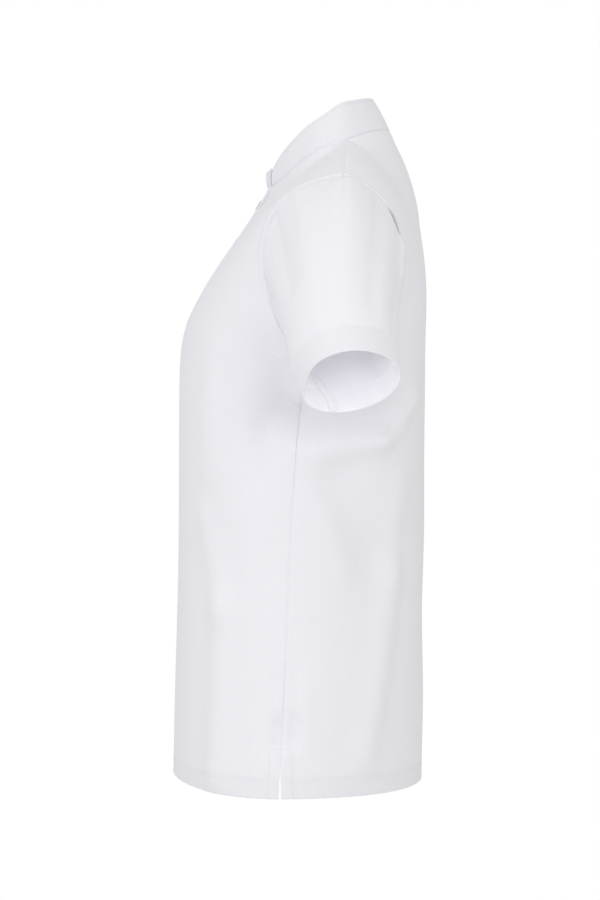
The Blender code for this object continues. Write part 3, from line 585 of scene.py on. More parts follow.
def sleeve_grid(ring, under, steps):
    """A Hermite curve for each point of the armhole, leaving along the cap and arriving along the
    arm, then lifted by the sleeve's own folds and the swell beside the armhole's seam."""
    turns = turns_round(ring, under)
    end = cuff_ring(turns, SLEEVE_END)
    chord = end - ring
    length = np.linalg.norm(chord, axis=1, keepdims=True)
    cap = np.clip(np.cos(np.radians(turns)), 0, 1)[:, None] ** 1.5
    leave = unit(unit(chord) * (1 - cap) + unit(CAP_SLOPE) * cap) * length
    arrive = unit(unit(chord) + sleeve_axes()[0]) * length
    t = steps[:, None, None]
    grid = (
        ring * (2 * t**3 - 3 * t**2 + 1)
        + leave * (t**3 - 2 * t**2 + t)
        + end * (3 * t**2 - 2 * t**3)
        + arrive * (t**3 - t**2)
    )
    outward = grid_normals(grid, ring=True)
    height = sleeve_relief(grid, (turns + 180) % 360 - 180, steps[:, None])
    return grid + outward * height[..., None], outward, turns


def sleeve_relief(grid, angle, steps):
    """The sleeve's folds, each a bell about a slanting line, its waves, and the puckers at both
    of its seams. It falls to nothing at the ends."""
    height = np.zeros(grid.shape[:2])
    for turn0, share0, turn1, share1, half_width, lift in SLEEVE_FOLDS:
        share = np.clip((steps - share0) / (share1 - share0), 0, 1)
        aside = np.radians(angle - (turn0 + (turn1 - turn0) * share)) * SLEEVE_RADIUS
        beyond = (steps - share0 - (share1 - share0) * share) * SLEEVE_RUN
        height += lift * bump(np.hypot(aside, beyond), half_width)
    height += soft_waves(grid, SLEEVE_WAVES, 5)
    down, around = lengths(grid, 0), ring_run(grid)[:, :-1]
    up = down[-1:] - down
    fine, slow = (np.sin(around * turns) for turns in SLEEVE_PUCKER_TURNS)
    height += fine * slow * (ridge(down, *CAP_PUCKER) + ridge(up, *SLEEVE_END_PUCKER))
    height += ridge(down, *CAP_DIP)
    return height * np.clip(down / SLEEVE_CALM[0], 0, 1) * np.clip(up / SLEEVE_CALM[1], 0, 1)


# ---- meshes ----
def add_object(name, mesh):
    """A piece at the origin, unturned, with its place in its mesh."""
    thing = bpy.data.objects.new(name, mesh)
    bpy.context.scene.collection.objects.link(thing)
    return thing


def new_mesh(name, points, faces, material=None):
    mesh = bpy.data.meshes.new(name)
    mesh.from_pydata(points.reshape(-1, 3).tolist(), [], faces)
    mesh.shade_smooth()
    if material:
        mesh.materials.append(material)
    return mesh


def tube_faces(count, sides, starts=(0,)):
    """Quads that join a tube's rings of points, and then a cap on each end, for a tube from each
    of these starts."""
    number = np.arange(count * sides).reshape(count, sides)
    beside = np.roll(number, -1, axis=1)
    quads = np.stack([number[:-1], beside[:-1], beside[1:], number[1:]], -1).reshape(-1, 4)
    caps = np.stack([number[0, ::-1], number[-1]])
    moved = np.asarray(starts)[:, None, None]
    return (quads + moved).reshape(-1, 4).tolist() + (caps + moved).reshape(-1, sides).tolist()


def face_outwards(mesh):
    """Points that lie on each other are merged, and a closed mesh's faces turned outwards."""
    work = bmesh.new()
    work.from_mesh(mesh)
    bmesh.ops.remove_doubles(work, verts=work.verts, dist=1e-6)
    bmesh.ops.recalc_face_normals(work, faces=work.faces)
    work.to_mesh(mesh)
    work.free()


def sheet_mesh(name, grid, material, uv, ring=False, keep=None, thick=None):
    """A grid of points as one mesh of quads with its UV map in metres, closed round if it is a
    ring, thickened inwards by its cloth. The whole grid is numbered and joined as arrays."""
    number = np.arange(grid.shape[0] * grid.shape[1]).reshape(grid.shape[:2])
    if ring:
        number = np.hstack([number, number[:, :1]])
    cells = np.stack([number[:-1, :-1], number[:-1, 1:], number[1:, 1:], number[1:, :-1]], -1)
    corners = np.stack([uv[:-1, :-1], uv[:-1, 1:], uv[1:, 1:], uv[1:, :-1]], 2)
    if keep is not None:
        cells, corners = cells[keep], corners[keep]
    used, numbers = np.unique(cells, return_inverse=True)
    mesh = new_mesh(name, grid.reshape(-1, 3)[used], numbers.reshape(-1, 4).tolist(), material)
    mesh.uv_layers.new(name="cloth").data.foreach_set("uv", corners.astype(np.float32).ravel())
    thing = add_object(name, mesh)
    if thick:
        wall = thing.modifiers.new("cloth thickness", "SOLIDIFY")
        wall.thickness, wall.offset, wall.use_even_offset = thick, -1.0, False
        settle(thing)
    return thing


def settle(thing, sharp=50.0):
    """Makes the modified mesh the piece's own and keeps its cut edges crisp."""
    graph = bpy.context.evaluated_depsgraph_get()
    mesh = bpy.data.meshes.new_from_object(thing.evaluated_get(graph))
    thing.modifiers.clear()
    thing.data = mesh
    mesh.shade_smooth()
    mesh.set_sharp_from_angle(angle=np.radians(sharp))


def plain_uv(grid, middle=None):
    """Metres along each row, from the middle column, and metres up the middle column."""
    middle = grid.shape[1] // 2 if middle is None else middle
    across = lengths(grid, 1)
    across = across - across[:, middle : middle + 1]
    up = np.repeat(lengths(grid, 0)[:, middle : middle + 1], grid.shape[1], axis=1)
    return np.stack([across, up], axis=-1)


def stitches(name, line, outward, pitch=0.0029, share=0.72, width=0.00042, lift=0.00012):
    """A row of stitches along a line: each is a short thread with tapered ends, carried as one
    template of rings to every stitch's place and turned to the line and the cloth."""
    run = lengths(line, 0)
    count = max(int(run[-1] / pitch), 1)
    at = (np.arange(count) + 0.5) * run[-1] / count
    ahead = unit(read_line(line, run, at + 0.0004) - read_line(line, run, at - 0.0004))
    side = unit(np.cross(unit(read_line(outward, run, at)), ahead))
    axes = np.stack([ahead, side, np.cross(ahead, side)], axis=1)
    angle = np.linspace(0, 2 * np.pi, 6, endpoint=False)
    on, thick, high = STITCH_RINGS.T[..., None]
    template = np.stack(
        [
            np.repeat(on * pitch * share, 6, axis=1),
            thick * np.sin(angle) * width / 2,
            (thick * np.cos(angle) + high) * width / 2 + lift,
        ],
        -1,
    ).reshape(-1, 3)
    points = read_line(line, run, at)[:, None] + np.einsum("vk,skd->svd", template, axes)
    faces = tube_faces(len(STITCH_RINGS), 6, np.arange(count) * len(template))
    trim(add_object(name, new_mesh(name, points, faces, THREAD_LOOK)))


def along_edge(values, across, distance):
    """Values of a grid's rows at a distance along each row, read between its columns."""
    distance = np.broadcast_to(distance, len(values))
    at = np.clip((across < distance[:, None]).sum(axis=1), 1, across.shape[1] - 1)
    row = np.arange(len(values))
    low, high = across[row, at - 1], across[row, at]
    share = ((distance - low) / (high - low))[:, None]
    return values[row, at - 1] * (1 - share) + values[row, at] * share


# ---- materials ----
def linear(hex_colour):
    """An sRGB hex colour as linear values with alpha."""
    parts = np.array([int(hex_colour[k : k + 2], 16) for k in (1, 3, 5)]) / 255
    flat = np.where(parts <= 0.04045, parts / 12.92, ((parts + 0.055) / 1.055) ** 2.4)
    return (*flat.tolist(), 1.0)


def add_node(tree, kind, settings=(), links=()):
    """One node with its settings; links are (input, from node, from output). A ramp's stops are
    pairs of place and colour."""
    node = tree.nodes.new(kind)
    for key, value in dict(settings).items():
        if key == "stops":
            for stop, (place, hex_colour) in zip(node.color_ramp.elements, value):
                stop.position, stop.color = place, linear(hex_colour)
        elif hasattr(node, key):
            setattr(node, key, value)
        else:
            node.inputs[key].default_value = value
    for target, source, output in links:
        tree.links.new(source.outputs[output], node.inputs[target])
    return node


def base_material(name, hex_colour, roughness, **sockets):
    material = bpy.data.materials.new(name)
    material.use_nodes = True
    material.diffuse_color = linear(hex_colour)
    shader = material.node_tree.nodes["Principled BSDF"]
    shader.inputs["Base Color"].default_value = linear(hex_colour)
    shader.inputs["Roughness"].default_value = roughness
    for socket, value in sockets.items():
        shader.inputs[socket.replace("_", " ")].default_value = value
    return material, material.node_tree, shader


def wire(tree, shader, relief, tint=None):
    """The last bump goes to the shader's normal, and the ramp to its colour."""
    tree.links.new(relief.outputs["Normal"], shader.inputs["Normal"])
    if tint:
        tree.links.new(tint.outputs["Color"], shader.inputs["Base Color"])


def knit_material(name, hex_colour, roughness):
    """White cotton knit: dull, a little fuzzy at glancing angles, and thin enough to let light in."""
    material, tree, shader = base_material(
        name, hex_colour, roughness, Specular_IOR_Level=0.2, Sheen_Weight=0.12, Sheen_Roughness=0.5,
        Subsurface_Weight=LIGHT_THROUGH, Subsurface_Scale=0.004, Subsurface_Radius=(1.0, 1.0, 1.0),
    )
    return material, tree, shader, add_node(tree, "ShaderNodeUVMap", {"uv_map": "cloth"})


def knit_face(tree, shader, cloth, pattern, output, stops, raised):
    """A knit's pattern raises it, and a ramp read from the same pattern paints shade, darker where the
    pattern is lower; over that lies the fuzz of its yarn.
    """
    # painted shade: the ramp darkens the pattern's low parts and lightens its high ones
    tint = add_node(tree, "ShaderNodeValToRGB", {"stops": stops}, [("Fac", pattern, output)])
    knit = add_node(tree, "ShaderNodeBump", raised, [("Height", pattern, output)])
    yarn = {"noise_dimensions": "2D", "Scale": 1 / YARN}
    yarn = add_node(tree, "ShaderNodeTexNoise", yarn, [("Vector", cloth, "UV")])
    over = [("Height", yarn, "Fac"), ("Normal", knit, "Normal")]
    fuzz = add_node(tree, "ShaderNodeBump", {"Strength": 0.10, "Distance": 0.0002}, over)
    wire(tree, shader, fuzz, tint)


def cotton_pique():
    """Cotton pique knit: rows of small raised cells in a diamond lattice, which the eye reads as
    a fine even grain, with painted shade between the cells, and the faint unevenness of its yarn."""
    material, tree, shader, cloth = knit_material("cotton pique knit", "#EFEEF2", 0.93)
    turned = add_node(tree, "ShaderNodeMapping", {"Rotation": (0, 0, np.pi / 4)}, [("Vector", cloth, "UV")])
    lattice = {"voronoi_dimensions": "2D", "Scale": 1 / PIQUE_CELL, "Randomness": 0.08}
    cells = add_node(tree, "ShaderNodeTexVoronoi", lattice, [("Vector", turned, "Vector")])
    # painted shade: lighter on the raised cells, darker in the hollows between them
    stops = ((0.10, "#F1F0F4"), (0.80, "#E9E8ED"))
    raised = {"Strength": 0.30, "Distance": 0.0003, "invert": True}
    knit_face(tree, shader, cloth, cells, "Distance", stops, raised)
    return material


def band_knit():
    """The smoother interlock knit of the collar and the cuffs: fine upright wales, barely raised, with
    painted shade in the grooves between them.
    """
    material, tree, shader, cloth = knit_material("interlock band knit", "#F0EFF3", 0.90)
    rib = {"wave_type": "BANDS", "bands_direction": "X", "Scale": WAVE_TURN / BAND_RIB, "Distortion": 0.25}
    wales = add_node(tree, "ShaderNodeTexWave", rib, [("Vector", cloth, "UV")])
    # painted shade: darker in the grooves between the wales, lighter on their crests
    stops = ((0.0, "#ECEBF0"), (0.7, "#F1F0F4"))
    knit_face(tree, shader, cloth, wales, "Fac", stops, {"Strength": 0.15, "Distance": 0.0002})
    return material


def sewing_thread():
    """Spun polyester sewing thread: a touch brighter and silkier than the cotton, with a twist and painted
    shade in its grooves.
    """
    material, tree, shader = base_material("spun polyester thread", "#F1F0F4", 0.62, Specular_IOR_Level=0.4)
    place = add_node(tree, "ShaderNodeTexCoord")
    spun = {"wave_type": "BANDS", "bands_direction": "DIAGONAL", "Scale": WAVE_TURN / THREAD_TWIST}
    spun["Distortion"] = 0.5
    twist = add_node(tree, "ShaderNodeTexWave", spun, [("Vector", place, "Object")])
    raised = {"Strength": 0.3, "Distance": 0.0001}
    ply = add_node(tree, "ShaderNodeBump", raised, [("Height", twist, "Fac")])
    # painted shade: darker in the grooves of the twist, lighter on its plies
    stops = ((0.0, "#DFDEE4"), (1.0, "#F3F2F6"))
    wire(tree, shader, ply, add_node(tree, "ShaderNodeValToRGB", {"stops": stops}, [("Fac", twist, "Fac")]))
    return material


def polyester_resin():
    """Cast polyester resin buttons: milky white with faint clouding and a satin polish."""
    material, tree, shader = base_material(
        "cast polyester resin", "#EFEDE8", 0.28, Coat_Weight=0.15, Subsurface_Weight=0.08
    )
    place = add_node(tree, "ShaderNodeTexCoord")
    milky = {"Scale": 1 / 0.006, "Detail": 4.0}  # clouds near 6 mm wide
    cloud = add_node(tree, "ShaderNodeTexNoise", milky, [("Vector", place, "Object")])
    satin = {"Strength": 0.05, "Distance": 0.0002}
    rub = add_node(tree, "ShaderNodeBump", satin, [("Height", cloud, "Fac")])
    stops = ((0.35, "#E6E4DF"), (0.65, "#F3F1ED"))
    wire(tree, shader, rub, add_node(tree, "ShaderNodeValToRGB", {"stops": stops}, [("Fac", cloud, "Fac")]))
    return material


def studio_floor():
    """The pale sweep that the shirt stands over, matt with a fine grain."""
    material, tree, shader = base_material("matt studio floor", "#FAFAFA", 0.95)
    place = add_node(tree, "ShaderNodeTexCoord")
    grain = add_node(tree, "ShaderNodeTexNoise", {"Scale": 40.0}, [("Vector", place, "Object")])
    wire(tree, shader, add_node(tree, "ShaderNodeBump", {"Strength": 0.02}, [("Height", grain, "Fac")]))
    return material


PIQUE_LOOK, BAND_LOOK = cotton_pique(), band_knit()
THREAD_LOOK, RESIN_LOOK = sewing_thread(), polyester_resin()


# ---- pieces ----
def stand_for(piece, node):
    """The piece takes a solid's place."""
    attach(piece, "root")
    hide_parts(node)
    return piece


def trim(piece):
    """The piece lies on others, and no solid stands for it."""
    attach(piece, "root")


def hem_turned_up(grid, outward):
    """The panel with its hem: the outer cloth, a half round fold at the bottom, and the turned-up
    layer inside, which comes first in the grid."""
    up = lengths(grid, 0)[:, grid.shape[1] // 2]
    radius = PIQUE + HEM_LOOSE
    inside = (grid - outward * 2 * radius)[1 : int((up < HEM_DEEP).sum())][::-1]
    angle = np.linspace(np.pi, 0, 7)[:, None, None]
    down = unit(grid[0] - grid[1])
    fold = grid[0] - radius * (down * (1 - np.sin(angle)) + outward[0] * (1 - np.cos(angle)))
    kept = up > radius * 1.4
    return np.concatenate([inside, fold, grid[kept]]), len(inside) + len(fold) - int((~kept).sum())


def tucked(points, ring):
    """A short deep fold behind each sleeve: cloth near this stretch of the armhole's seam dips
    inwards, by a parabola along the stretch and a bell across it."""
    side = np.where(points[..., :1] < 0, -1, 1) * (1, 0, 0) + (0, 1, 1)
    here = points * side
    along = (here[..., 2] - TUCK_SPAN[0]) / (TUCK_SPAN[1] - TUCK_SPAN[0])
    share = np.clip(4 * along * (1 - along), 0, 1) * (here[..., 1] > 0) * (here[..., 0] > TUCK_FROM)
    near = share > 0
    dip = np.zeros(points.shape[:-1])
    dip[near] = TUCK_DEPTH * share[near] * bump(away_from(here[near], ring), TUCK_WIDE)
    return points - dip[..., None] * unit(TUCK_WAY) * side


def make_body(rows, columns):
    """The front, slit for its placket, and the back, each with its turned-up hem."""
    dressed = dressed_panels(rows, columns)
    ring = armhole_ring(dressed[0][0], dressed[1][0], rows)[0]
    made = []
    for (grid, outward), label in zip(dressed, ("front", "back")):
        whole, shift = hem_turned_up(tucked(grid, ring), outward)
        keep = np.ones((whole.shape[0] - 1, whole.shape[1] - 1), bool)
        if label == "front":
            middle = whole.shape[1] // 2
            slit = int(np.searchsorted(rows, PLACKET_ROW)) + shift
            keep[slit:, middle - 2 : middle + 2] = False
        piece = sheet_mesh(label + "_cloth", whole, PIQUE_LOOK, plain_uv(whole), keep=keep, thick=PIQUE)
        made.append((stand_for(piece, label + "_panel"), grid, outward))
    return made


def make_sleeves(grid, turns):
    """Both sleeves; the right one is the left one mirrored, its grid turned so that it faces out."""
    down, run = lengths(grid, 0), ring_run(grid)
    signed = np.where(np.append(turns, 360) <= UNDERARM_TURN, run, run - run[:, -1:])
    uv = np.stack([signed, np.repeat(down.max() - down[:, :1], run.shape[1], axis=1)], -1)
    pieces = []
    for side, sign in SIDES:
        points = grid * (sign, 1, 1)
        if sign < 0:
            points, uv = np.roll(points[:, ::-1], 1, axis=1), uv[:, ::-1]
        piece = sheet_mesh(f"sleeve_{side}_cloth", points, PIQUE_LOOK, uv, ring=True, thick=PIQUE)
        pieces.append(stand_for(piece, f"sleeve_{side}"))
    return pieces


def allowance_path(sleeve, outward, turns):
    """Points up the inside of cuff and sleeve where the underarm seam runs, with the way in. The
    cuff's come from its ring, and the sleeve's are read across its rows at the seam's turn."""
    points, inward = [], []
    proud = CUFF_PROUD - 2 * BAND_LAYER - BAND_GAP
    for distance in np.linspace(ALLOWANCE_FROM, CUFF_WIDTH - ALLOWANCE_CLEAR, 12):
        turn = np.interp(distance, (0, ALLOWANCE_REACH), ALLOWANCE_TURNS)
        points.append(cuff_ring(np.array([turn]), distance, proud)[0])
        inward.append(unit(CUFF_MIDDLE - sleeve_axes()[0] * distance - points[-1]))
    to_edge = lengths(sleeve[::-1], 0)[::-1].mean(axis=1) + CUFF_WIDTH
    inside = (to_edge > CUFF_WIDTH + ALLOWANCE_CLEAR) & (to_edge < ALLOWANCE_REACH)
    for row in np.flatnonzero(inside)[::-1]:
        turn = np.interp(to_edge[row], (0, ALLOWANCE_REACH), ALLOWANCE_TURNS)
        spot, way = (read_line(part[row], turns, turn) for part in (sleeve, outward))
        points.append(spot - unit(way) * PIQUE)
        inward.append(-unit(way))
    return np.array(points), np.array(inward)


def make_allowances(sleeve, outward, turns):
    """The overlocked allowance of each sleeve's underarm seam, which shows inside the cuff: a flat
    ellipse carried along the seam, its width and height uneven as the thread gathers it."""
    path, inward = allowance_path(sleeve, outward, turns)
    run = lengths(path, 0)
    fine = np.linspace(0, run[-1], 60)
    path, inward = (read_line(part, run, fine) for part in (path, inward))
    across = unit(np.cross(np.gradient(path, axis=0), inward))
    angle = np.linspace(0, 2 * np.pi, 14, endpoint=False)
    thick = ALLOWANCE_THICK / 2 * (1 + 0.18 * np.sin(fine * 820) + 0.12 * np.sin(fine * 310 + 1.0))
    wide = ALLOWANCE_WIDE / 2 * (1 + 0.10 * np.sin(fine * 260))
    lean = 0.0007 * np.sin(fine * 190)
    aside = lean[:, None] + wide[:, None] * np.cos(angle)
    rise = thick[:, None] * (0.70 + np.sin(angle))
    rings = path[:, None] + across[:, None] * aside[..., None] + inward[:, None] * rise[..., None]
    for side, sign in SIDES:
        trim(closed_tube(f"sleeve_{side}_seam_allowance", rings * (sign, 1, 1), PIQUE_LOOK))


def closed_tube(name, rings, material):
    """Rings of points joined by quads, with a cap on each end and a UV map in metres."""
    count, sides = rings.shape[:2]
    mesh = new_mesh(name, rings, tube_faces(count, sides), material)
    face_outwards(mesh)
    corner = np.empty(len(mesh.loops), int)
    mesh.loops.foreach_get("vertex_index", corner)
    along, around = np.divmod(corner, sides)
    uv = np.stack([around * 0.0010, along * 0.0009], -1).astype(np.float32)
    mesh.uv_layers.new(name="cloth").data.foreach_set("uv", uv.ravel())
    return add_object(name, mesh)


def folded_profile(width, proud):
    """A strip folded in half lengthways: its outer layer down to the fold, the half round, and the
    inner layer up again. Rows of distance from the fold and of how far each stands out."""
    radius = BAND_LAYER + BAND_GAP / 2
    flat = np.linspace(width, radius, 16)
    angle = np.linspace(0, np.pi, 9)[1:-1]
    outer = np.column_stack([flat, np.full(16, proud)])
    fold = np.column_stack([radius - radius * np.sin(angle), proud - radius + radius * np.cos(angle)])
    inner = np.column_stack([flat[::-1], np.full(16, proud - 2 * radius)])
    return np.concatenate([outer, fold, inner])


def make_cuffs():
    """The cuff bands: a strip folded at the open end, carried round the arm, soft along its run."""
    turns = np.linspace(0, 360, 150, endpoint=False)
    profile = folded_profile(CUFF_WIDTH + 0.0004, CUFF_PROUD)
    round_arm = np.radians(turns)
    pucker = np.sin(round_arm * 23) * np.sin(round_arm * 7 + 1)
    rings = []
    for distance, out in profile:
        ring = cuff_ring(turns, distance, out)
        from_seam = CUFF_WIDTH - distance
        soft = CUFF_SOFT * np.sin(round_arm * 3 + 0.6) + pucker * ridge(from_seam, *CUFF_PUCKER)
        soft += ridge(from_seam, *CUFF_SEAM_DIP)
        rings.append(ring + unit(ring - CUFF_MIDDLE) * soft[:, None])
    girth = np.append(round_arm, 2 * np.pi) * np.mean(CUFF_RADII)
    uv = np.stack(np.broadcast_arrays(girth[None], lengths(profile[:, None], 0)), -1)
    pieces = []
    for side, sign in SIDES:
        points = (np.stack(rings) * (sign, 1, 1))[:, ::sign]
        piece = sheet_mesh(f"cuff_{side}_band", points, BAND_LOOK, uv, ring=True, thick=BAND_LAYER)
        pieces.append(stand_for(piece, f"cuff_{side}"))
    return pieces


def collar_line(per_station):
    """Seam and top edge of the collar, from its left end under the lap, round the back, to its
    right end over the lap, with how far each stands out for the lap: below 0 under, above 0 over."""
    stations = len(NECK) - 1
    flip = np.array((-1, 1, 1, -1, 1, 1))
    past_middle = np.linspace(stations - 1, stations, per_station, endpoint=False)
    half = smooth_through(NECK, np.linspace(stations, 0, stations * per_station + 1))
    half = np.concatenate([smooth_through(NECK, past_middle) * flip, half])
    line = np.concatenate([half, half[-2::-1] * flip])
    step = np.arange(len(line)) / per_station
    lap = np.interp(step, (0, 2, 4, step[-1] - 4, step[-1] - 2, step[-1]), (-1, -1, 0, 0, 1, 1))
    return line[:, :3], line[:, 3:], lap


def make_collar():
    """The band collar: a strip folded along its top edge, swelling a little halfway up, its outer
    face stitched close to the top and to the foot. Its ends lap at the middle front."""
    foot, top, lap = collar_line(12)
    share = np.concatenate([[-0.03, 0.0, 0.02, 0.05], np.linspace(0.09, 0.97, 18)])[:, None]
    rise = top - foot
    face = foot + rise * share[..., None]
    outward = grid_normals(face)
    height = np.linalg.norm(rise, axis=1)
    tall, run = share * height, lengths(foot, 0)
    relief = COLLAR_SWELL * 4 * share * (1 - share)
    relief = relief + ridge(tall, *COLLAR_SEAM_DIP) + ridge(height - tall, *COLLAR_STITCH_DIP)
    fine, slow = (run * turns for turns in COLLAR_RIPPLE_TURNS)
    relief += COLLAR_RIPPLE * np.sin(fine + 0.7) * np.sin(slow) * share
    relief += (COLLAR_THICK + LAY_GAP) / 2 * lap
    radius = BAND_LAYER + BAND_GAP / 2
    outer = face + outward * relief[..., None]
    inner = (outer - outward * 2 * radius)[::-1]
    angle = np.linspace(0, np.pi, 9)[1:-1, None, None]
    fold = (outer[-1] + inner[0]) / 2 + radius * (outward[-1] * np.cos(angle) + unit(rise) * np.sin(angle))
    grid = np.concatenate([outer, fold, inner])
    depth = np.repeat(lengths(grid, 0)[:, grid.shape[1] // 2, None], grid.shape[1], axis=1)
    uv = np.stack([np.broadcast_to(run, depth.shape), depth], -1)
    shares = np.broadcast_to(share[:, 0], outer.shape[1::-1])
    for label, level in (("top", 1 - COLLAR_STITCH_TOP / height), ("foot", COLLAR_STITCH_FOOT / height)):
        line = along_edge(outer.transpose(1, 0, 2), shares, level)
        stitches(f"collar_{label}_stitches", line, outward[0])
    piece = sheet_mesh("collar_band_knit", grid, BAND_LOOK, uv, thick=BAND_LAYER)
    return stand_for(piece, "collar_band")


def strip_on_front(edges, rows, count, stand):
    """Points over the front between two upright lines, moved out, with the way out there."""
    across = np.linspace(*edges, count)
    half = half_panel(True, rows, np.array([0.0, 0.5, 1.0, 1.1, 1.2]))
    points, out = (
        np.stack([read_line(row, x, np.abs(across)) for row, x in zip(values, half[..., 0])])
        for values in (half, grid_normals(half))
    )
    points[..., 0] = across
    out[..., 0] *= np.sign(across)
    out = unit(out)
    return points + out * stand, out


def make_placket():
    """Both bands of the placket, their long edges rounded down, the upper one with its stitches."""
    rows = np.linspace(PLACKET_ROW - 0.5, PLACKET_TOP, 70)
    over, out = strip_on_front((PLACKET_OVER_FOLD, PLACKET_OVER_EDGE), rows, 31, LAY_GAP + PLACKET_CLOTH)
    across, up = lengths(over, 1), lengths(over, 0)
    edge = np.minimum(across, across[:, -1:] - across)
    relief = ridge(edge, *PLACKET_ROUND) + ridge(edge, *PLACKET_STITCH_DIP) + ridge(up, *PLACKET_FOOT_DIP)
    slant = up * PLACKET_RIPPLE_TURNS[0] + across * PLACKET_RIPPLE_TURNS[1]
    relief += np.sin(slant) * ridge(edge, *PLACKET_RIPPLE) + soft_waves(over, PLACKET_WAVES, 12)
    left, right = (np.tanh((over[..., 0] - place) / TROUGH_SOFT) for place in TROUGH_SPAN)
    relief -= PLACKET_TROUGH / 2 * (left - right) * np.clip((up - TROUGH_FROM) / TROUGH_EASE, 0, 1)
    over = over + out * relief[..., None]
    piece = sheet_mesh("placket_over_cloth", over, PIQUE_LOOK, plain_uv(over), thick=PLACKET_CLOTH * 0.95)
    stand_for(piece, "placket_over")
    for label, distance in (("fold", STITCH_IN), ("edge", across[0, -1] - STITCH_IN)):
        line, way = (along_edge(values, across, distance) for values in (over, out))
        stitches(f"placket_{label}_stitches", line, way)
    for label, level in (("foot", STITCH_IN), ("box", BOX_TALL)):
        row = int(np.searchsorted(up[:, 15], level))
        inner = (across[row] > STITCH_IN) & (across[row] < across[row, -1] - STITCH_IN)
        stitches(f"placket_{label}_stitches", over[row][inner], out[row][inner])
    under = strip_on_front(PLACKET_UNDER_EDGES, rows, 21, -PIQUE - LAY_GAP * 2)[0]
    under_piece = sheet_mesh("placket_under_cloth", under, PIQUE_LOOK, plain_uv(under), thick=PLACKET_CLOTH)
    stand_for(under_piece, "placket_under")
    return piece, under_piece, over, out


def circle(right, down, count):
    """Points round a circle of radius 1 in the plane of two directions."""
    turns = np.linspace(0, 2 * np.pi, count, endpoint=False)[:, None]
    return np.cos(turns) * right + np.sin(turns) * down


def lathe_button(name, base, out, down):
    """A four-hole button: a rim, a dished middle and a rounded edge turned about its axis, with
    its holes bored through, then the two threads that cross its middle."""
    right = np.cross(down, out)
    radius, height = (BUTTON_PROFILE * (BUTTON_RADIUS, BUTTON_THICK)).T[..., None, None]
    rings = base + circle(right, down, 48) * radius + out * height
    mesh = new_mesh(name, rings, tube_faces(len(rings), 48)[:-2])  # both ends close in a point
    face_outwards(mesh)
    button = add_object(name, mesh)
    for x, y in ((-1, -1), (-1, 1), (1, -1), (1, 1)):
        ring = base + (right * x + down * y) * HOLE_SPREAD + circle(right, down, 16) * HOLE_RADIUS
        cut = button.modifiers.new("hole", "BOOLEAN")
        cut.object, cut.operation, cut.solver = bore_cutter(ring, out), "DIFFERENCE", "EXACT"
    cutters = [cut.object for cut in button.modifiers]
    settle(button, sharp=38)
    for cutter in cutters:
        bpy.data.objects.remove(cutter, do_unlink=True)
    button.data.materials.clear()
    button.data.materials.append(RESIN_LOOK)
    at = np.linspace(-1, 1, 9)[:, None]
    level = base + out * (BUTTON_THICK * 0.72 + 0.00035 - 0.00115 * at**4) + down * at * HOLE_SPREAD * 1.08
    strands = (side * HOLE_SPREAD + strand for side in (-1, 1) for strand in (-0.00022, 0.00022))
    threads = [level + right * aside for aside in strands]
    return button, thread_mesh(name + "_thread", threads, BUTTON_THREAD)


def bore_cutter(ring, out):
    """A round rod along a hole, longer than the button is thick."""
    mesh = new_mesh("bore", np.stack([ring - out * 0.002, ring + out * 0.004]), tube_faces(2, len(ring)))
    face_outwards(mesh)
    cutter = add_object("bore", mesh)
    cutter.hide_render = True
    return cutter


def thread_mesh(name, paths, radius):
    """Round threads: a circle of eight points carried along each path."""
    paths = np.array(paths)
    ahead = unit(np.gradient(paths, axis=1))
    side = unit(np.cross(ahead, (0.3, 0.2, 0.9)))[:, :, None]
    rings = paths[:, :, None] + radius * circle(side, np.cross(side, ahead[:, :, None]), 8)
    starts = np.arange(len(paths)) * rings[0, ..., 0].size
    mesh = new_mesh(name, rings, tube_faces(paths.shape[1], 8, starts), THREAD_LOOK)
    face_outwards(mesh)
    return add_object(name, mesh)


def make_buttons(over, out):
    """The buttons on the upper band, each with a thread-bound buttonhole showing past its rim."""
    middle = over.shape[1] // 2
    line, outward = over[::-1, middle] * (0, 1, 1), out[::-1, middle]
    drop = lengths(line, 0)
    for number, wanted in enumerate(np.array(BUTTON_DROPS) - PLACKET_TOP_DROP, start=1):
        facing = unit(read_line(outward * (0, 1, 1), drop, wanted))
        down = unit(np.cross((1.0, 0.0, 0.0), facing))
        down = down if down[2] < 0 else -down
        base = read_line(line, drop, wanted) + facing * BUTTON_STAND
        button, thread = lathe_button(f"button_{number}_resin", base, facing, down)
        stand_for(button, f"button_{number}")
        trim(thread)
        trim(buttonhole(number, drop, line, outward, wanted))


def buttonhole(number, drop, line, outward, wanted):
    """Close stitches across both lips of an upright slit, longer than the button is wide."""
    at = np.linspace(wanted - BUTTONHOLE_HALF, wanted + BUTTONHOLE_HALF, 44)
    spot = read_line(line, drop, at)[:, None]
    way = unit(read_line(outward, drop, at))[:, None]
    reach = np.linspace(*BUTTONHOLE_LIPS, 5)[:, None]
    hump = way * (0.00020 - 0.00022 * ((reach - np.mean(BUTTONHOLE_LIPS)) / 0.0005) ** 2)
    paths = np.concatenate([spot + np.array((side, 0.0, 0.0)) * reach + hump for side in (-1, 1)])
    return thread_mesh(f"buttonhole_{number}_thread", paths, BUTTONHOLE_THREAD)


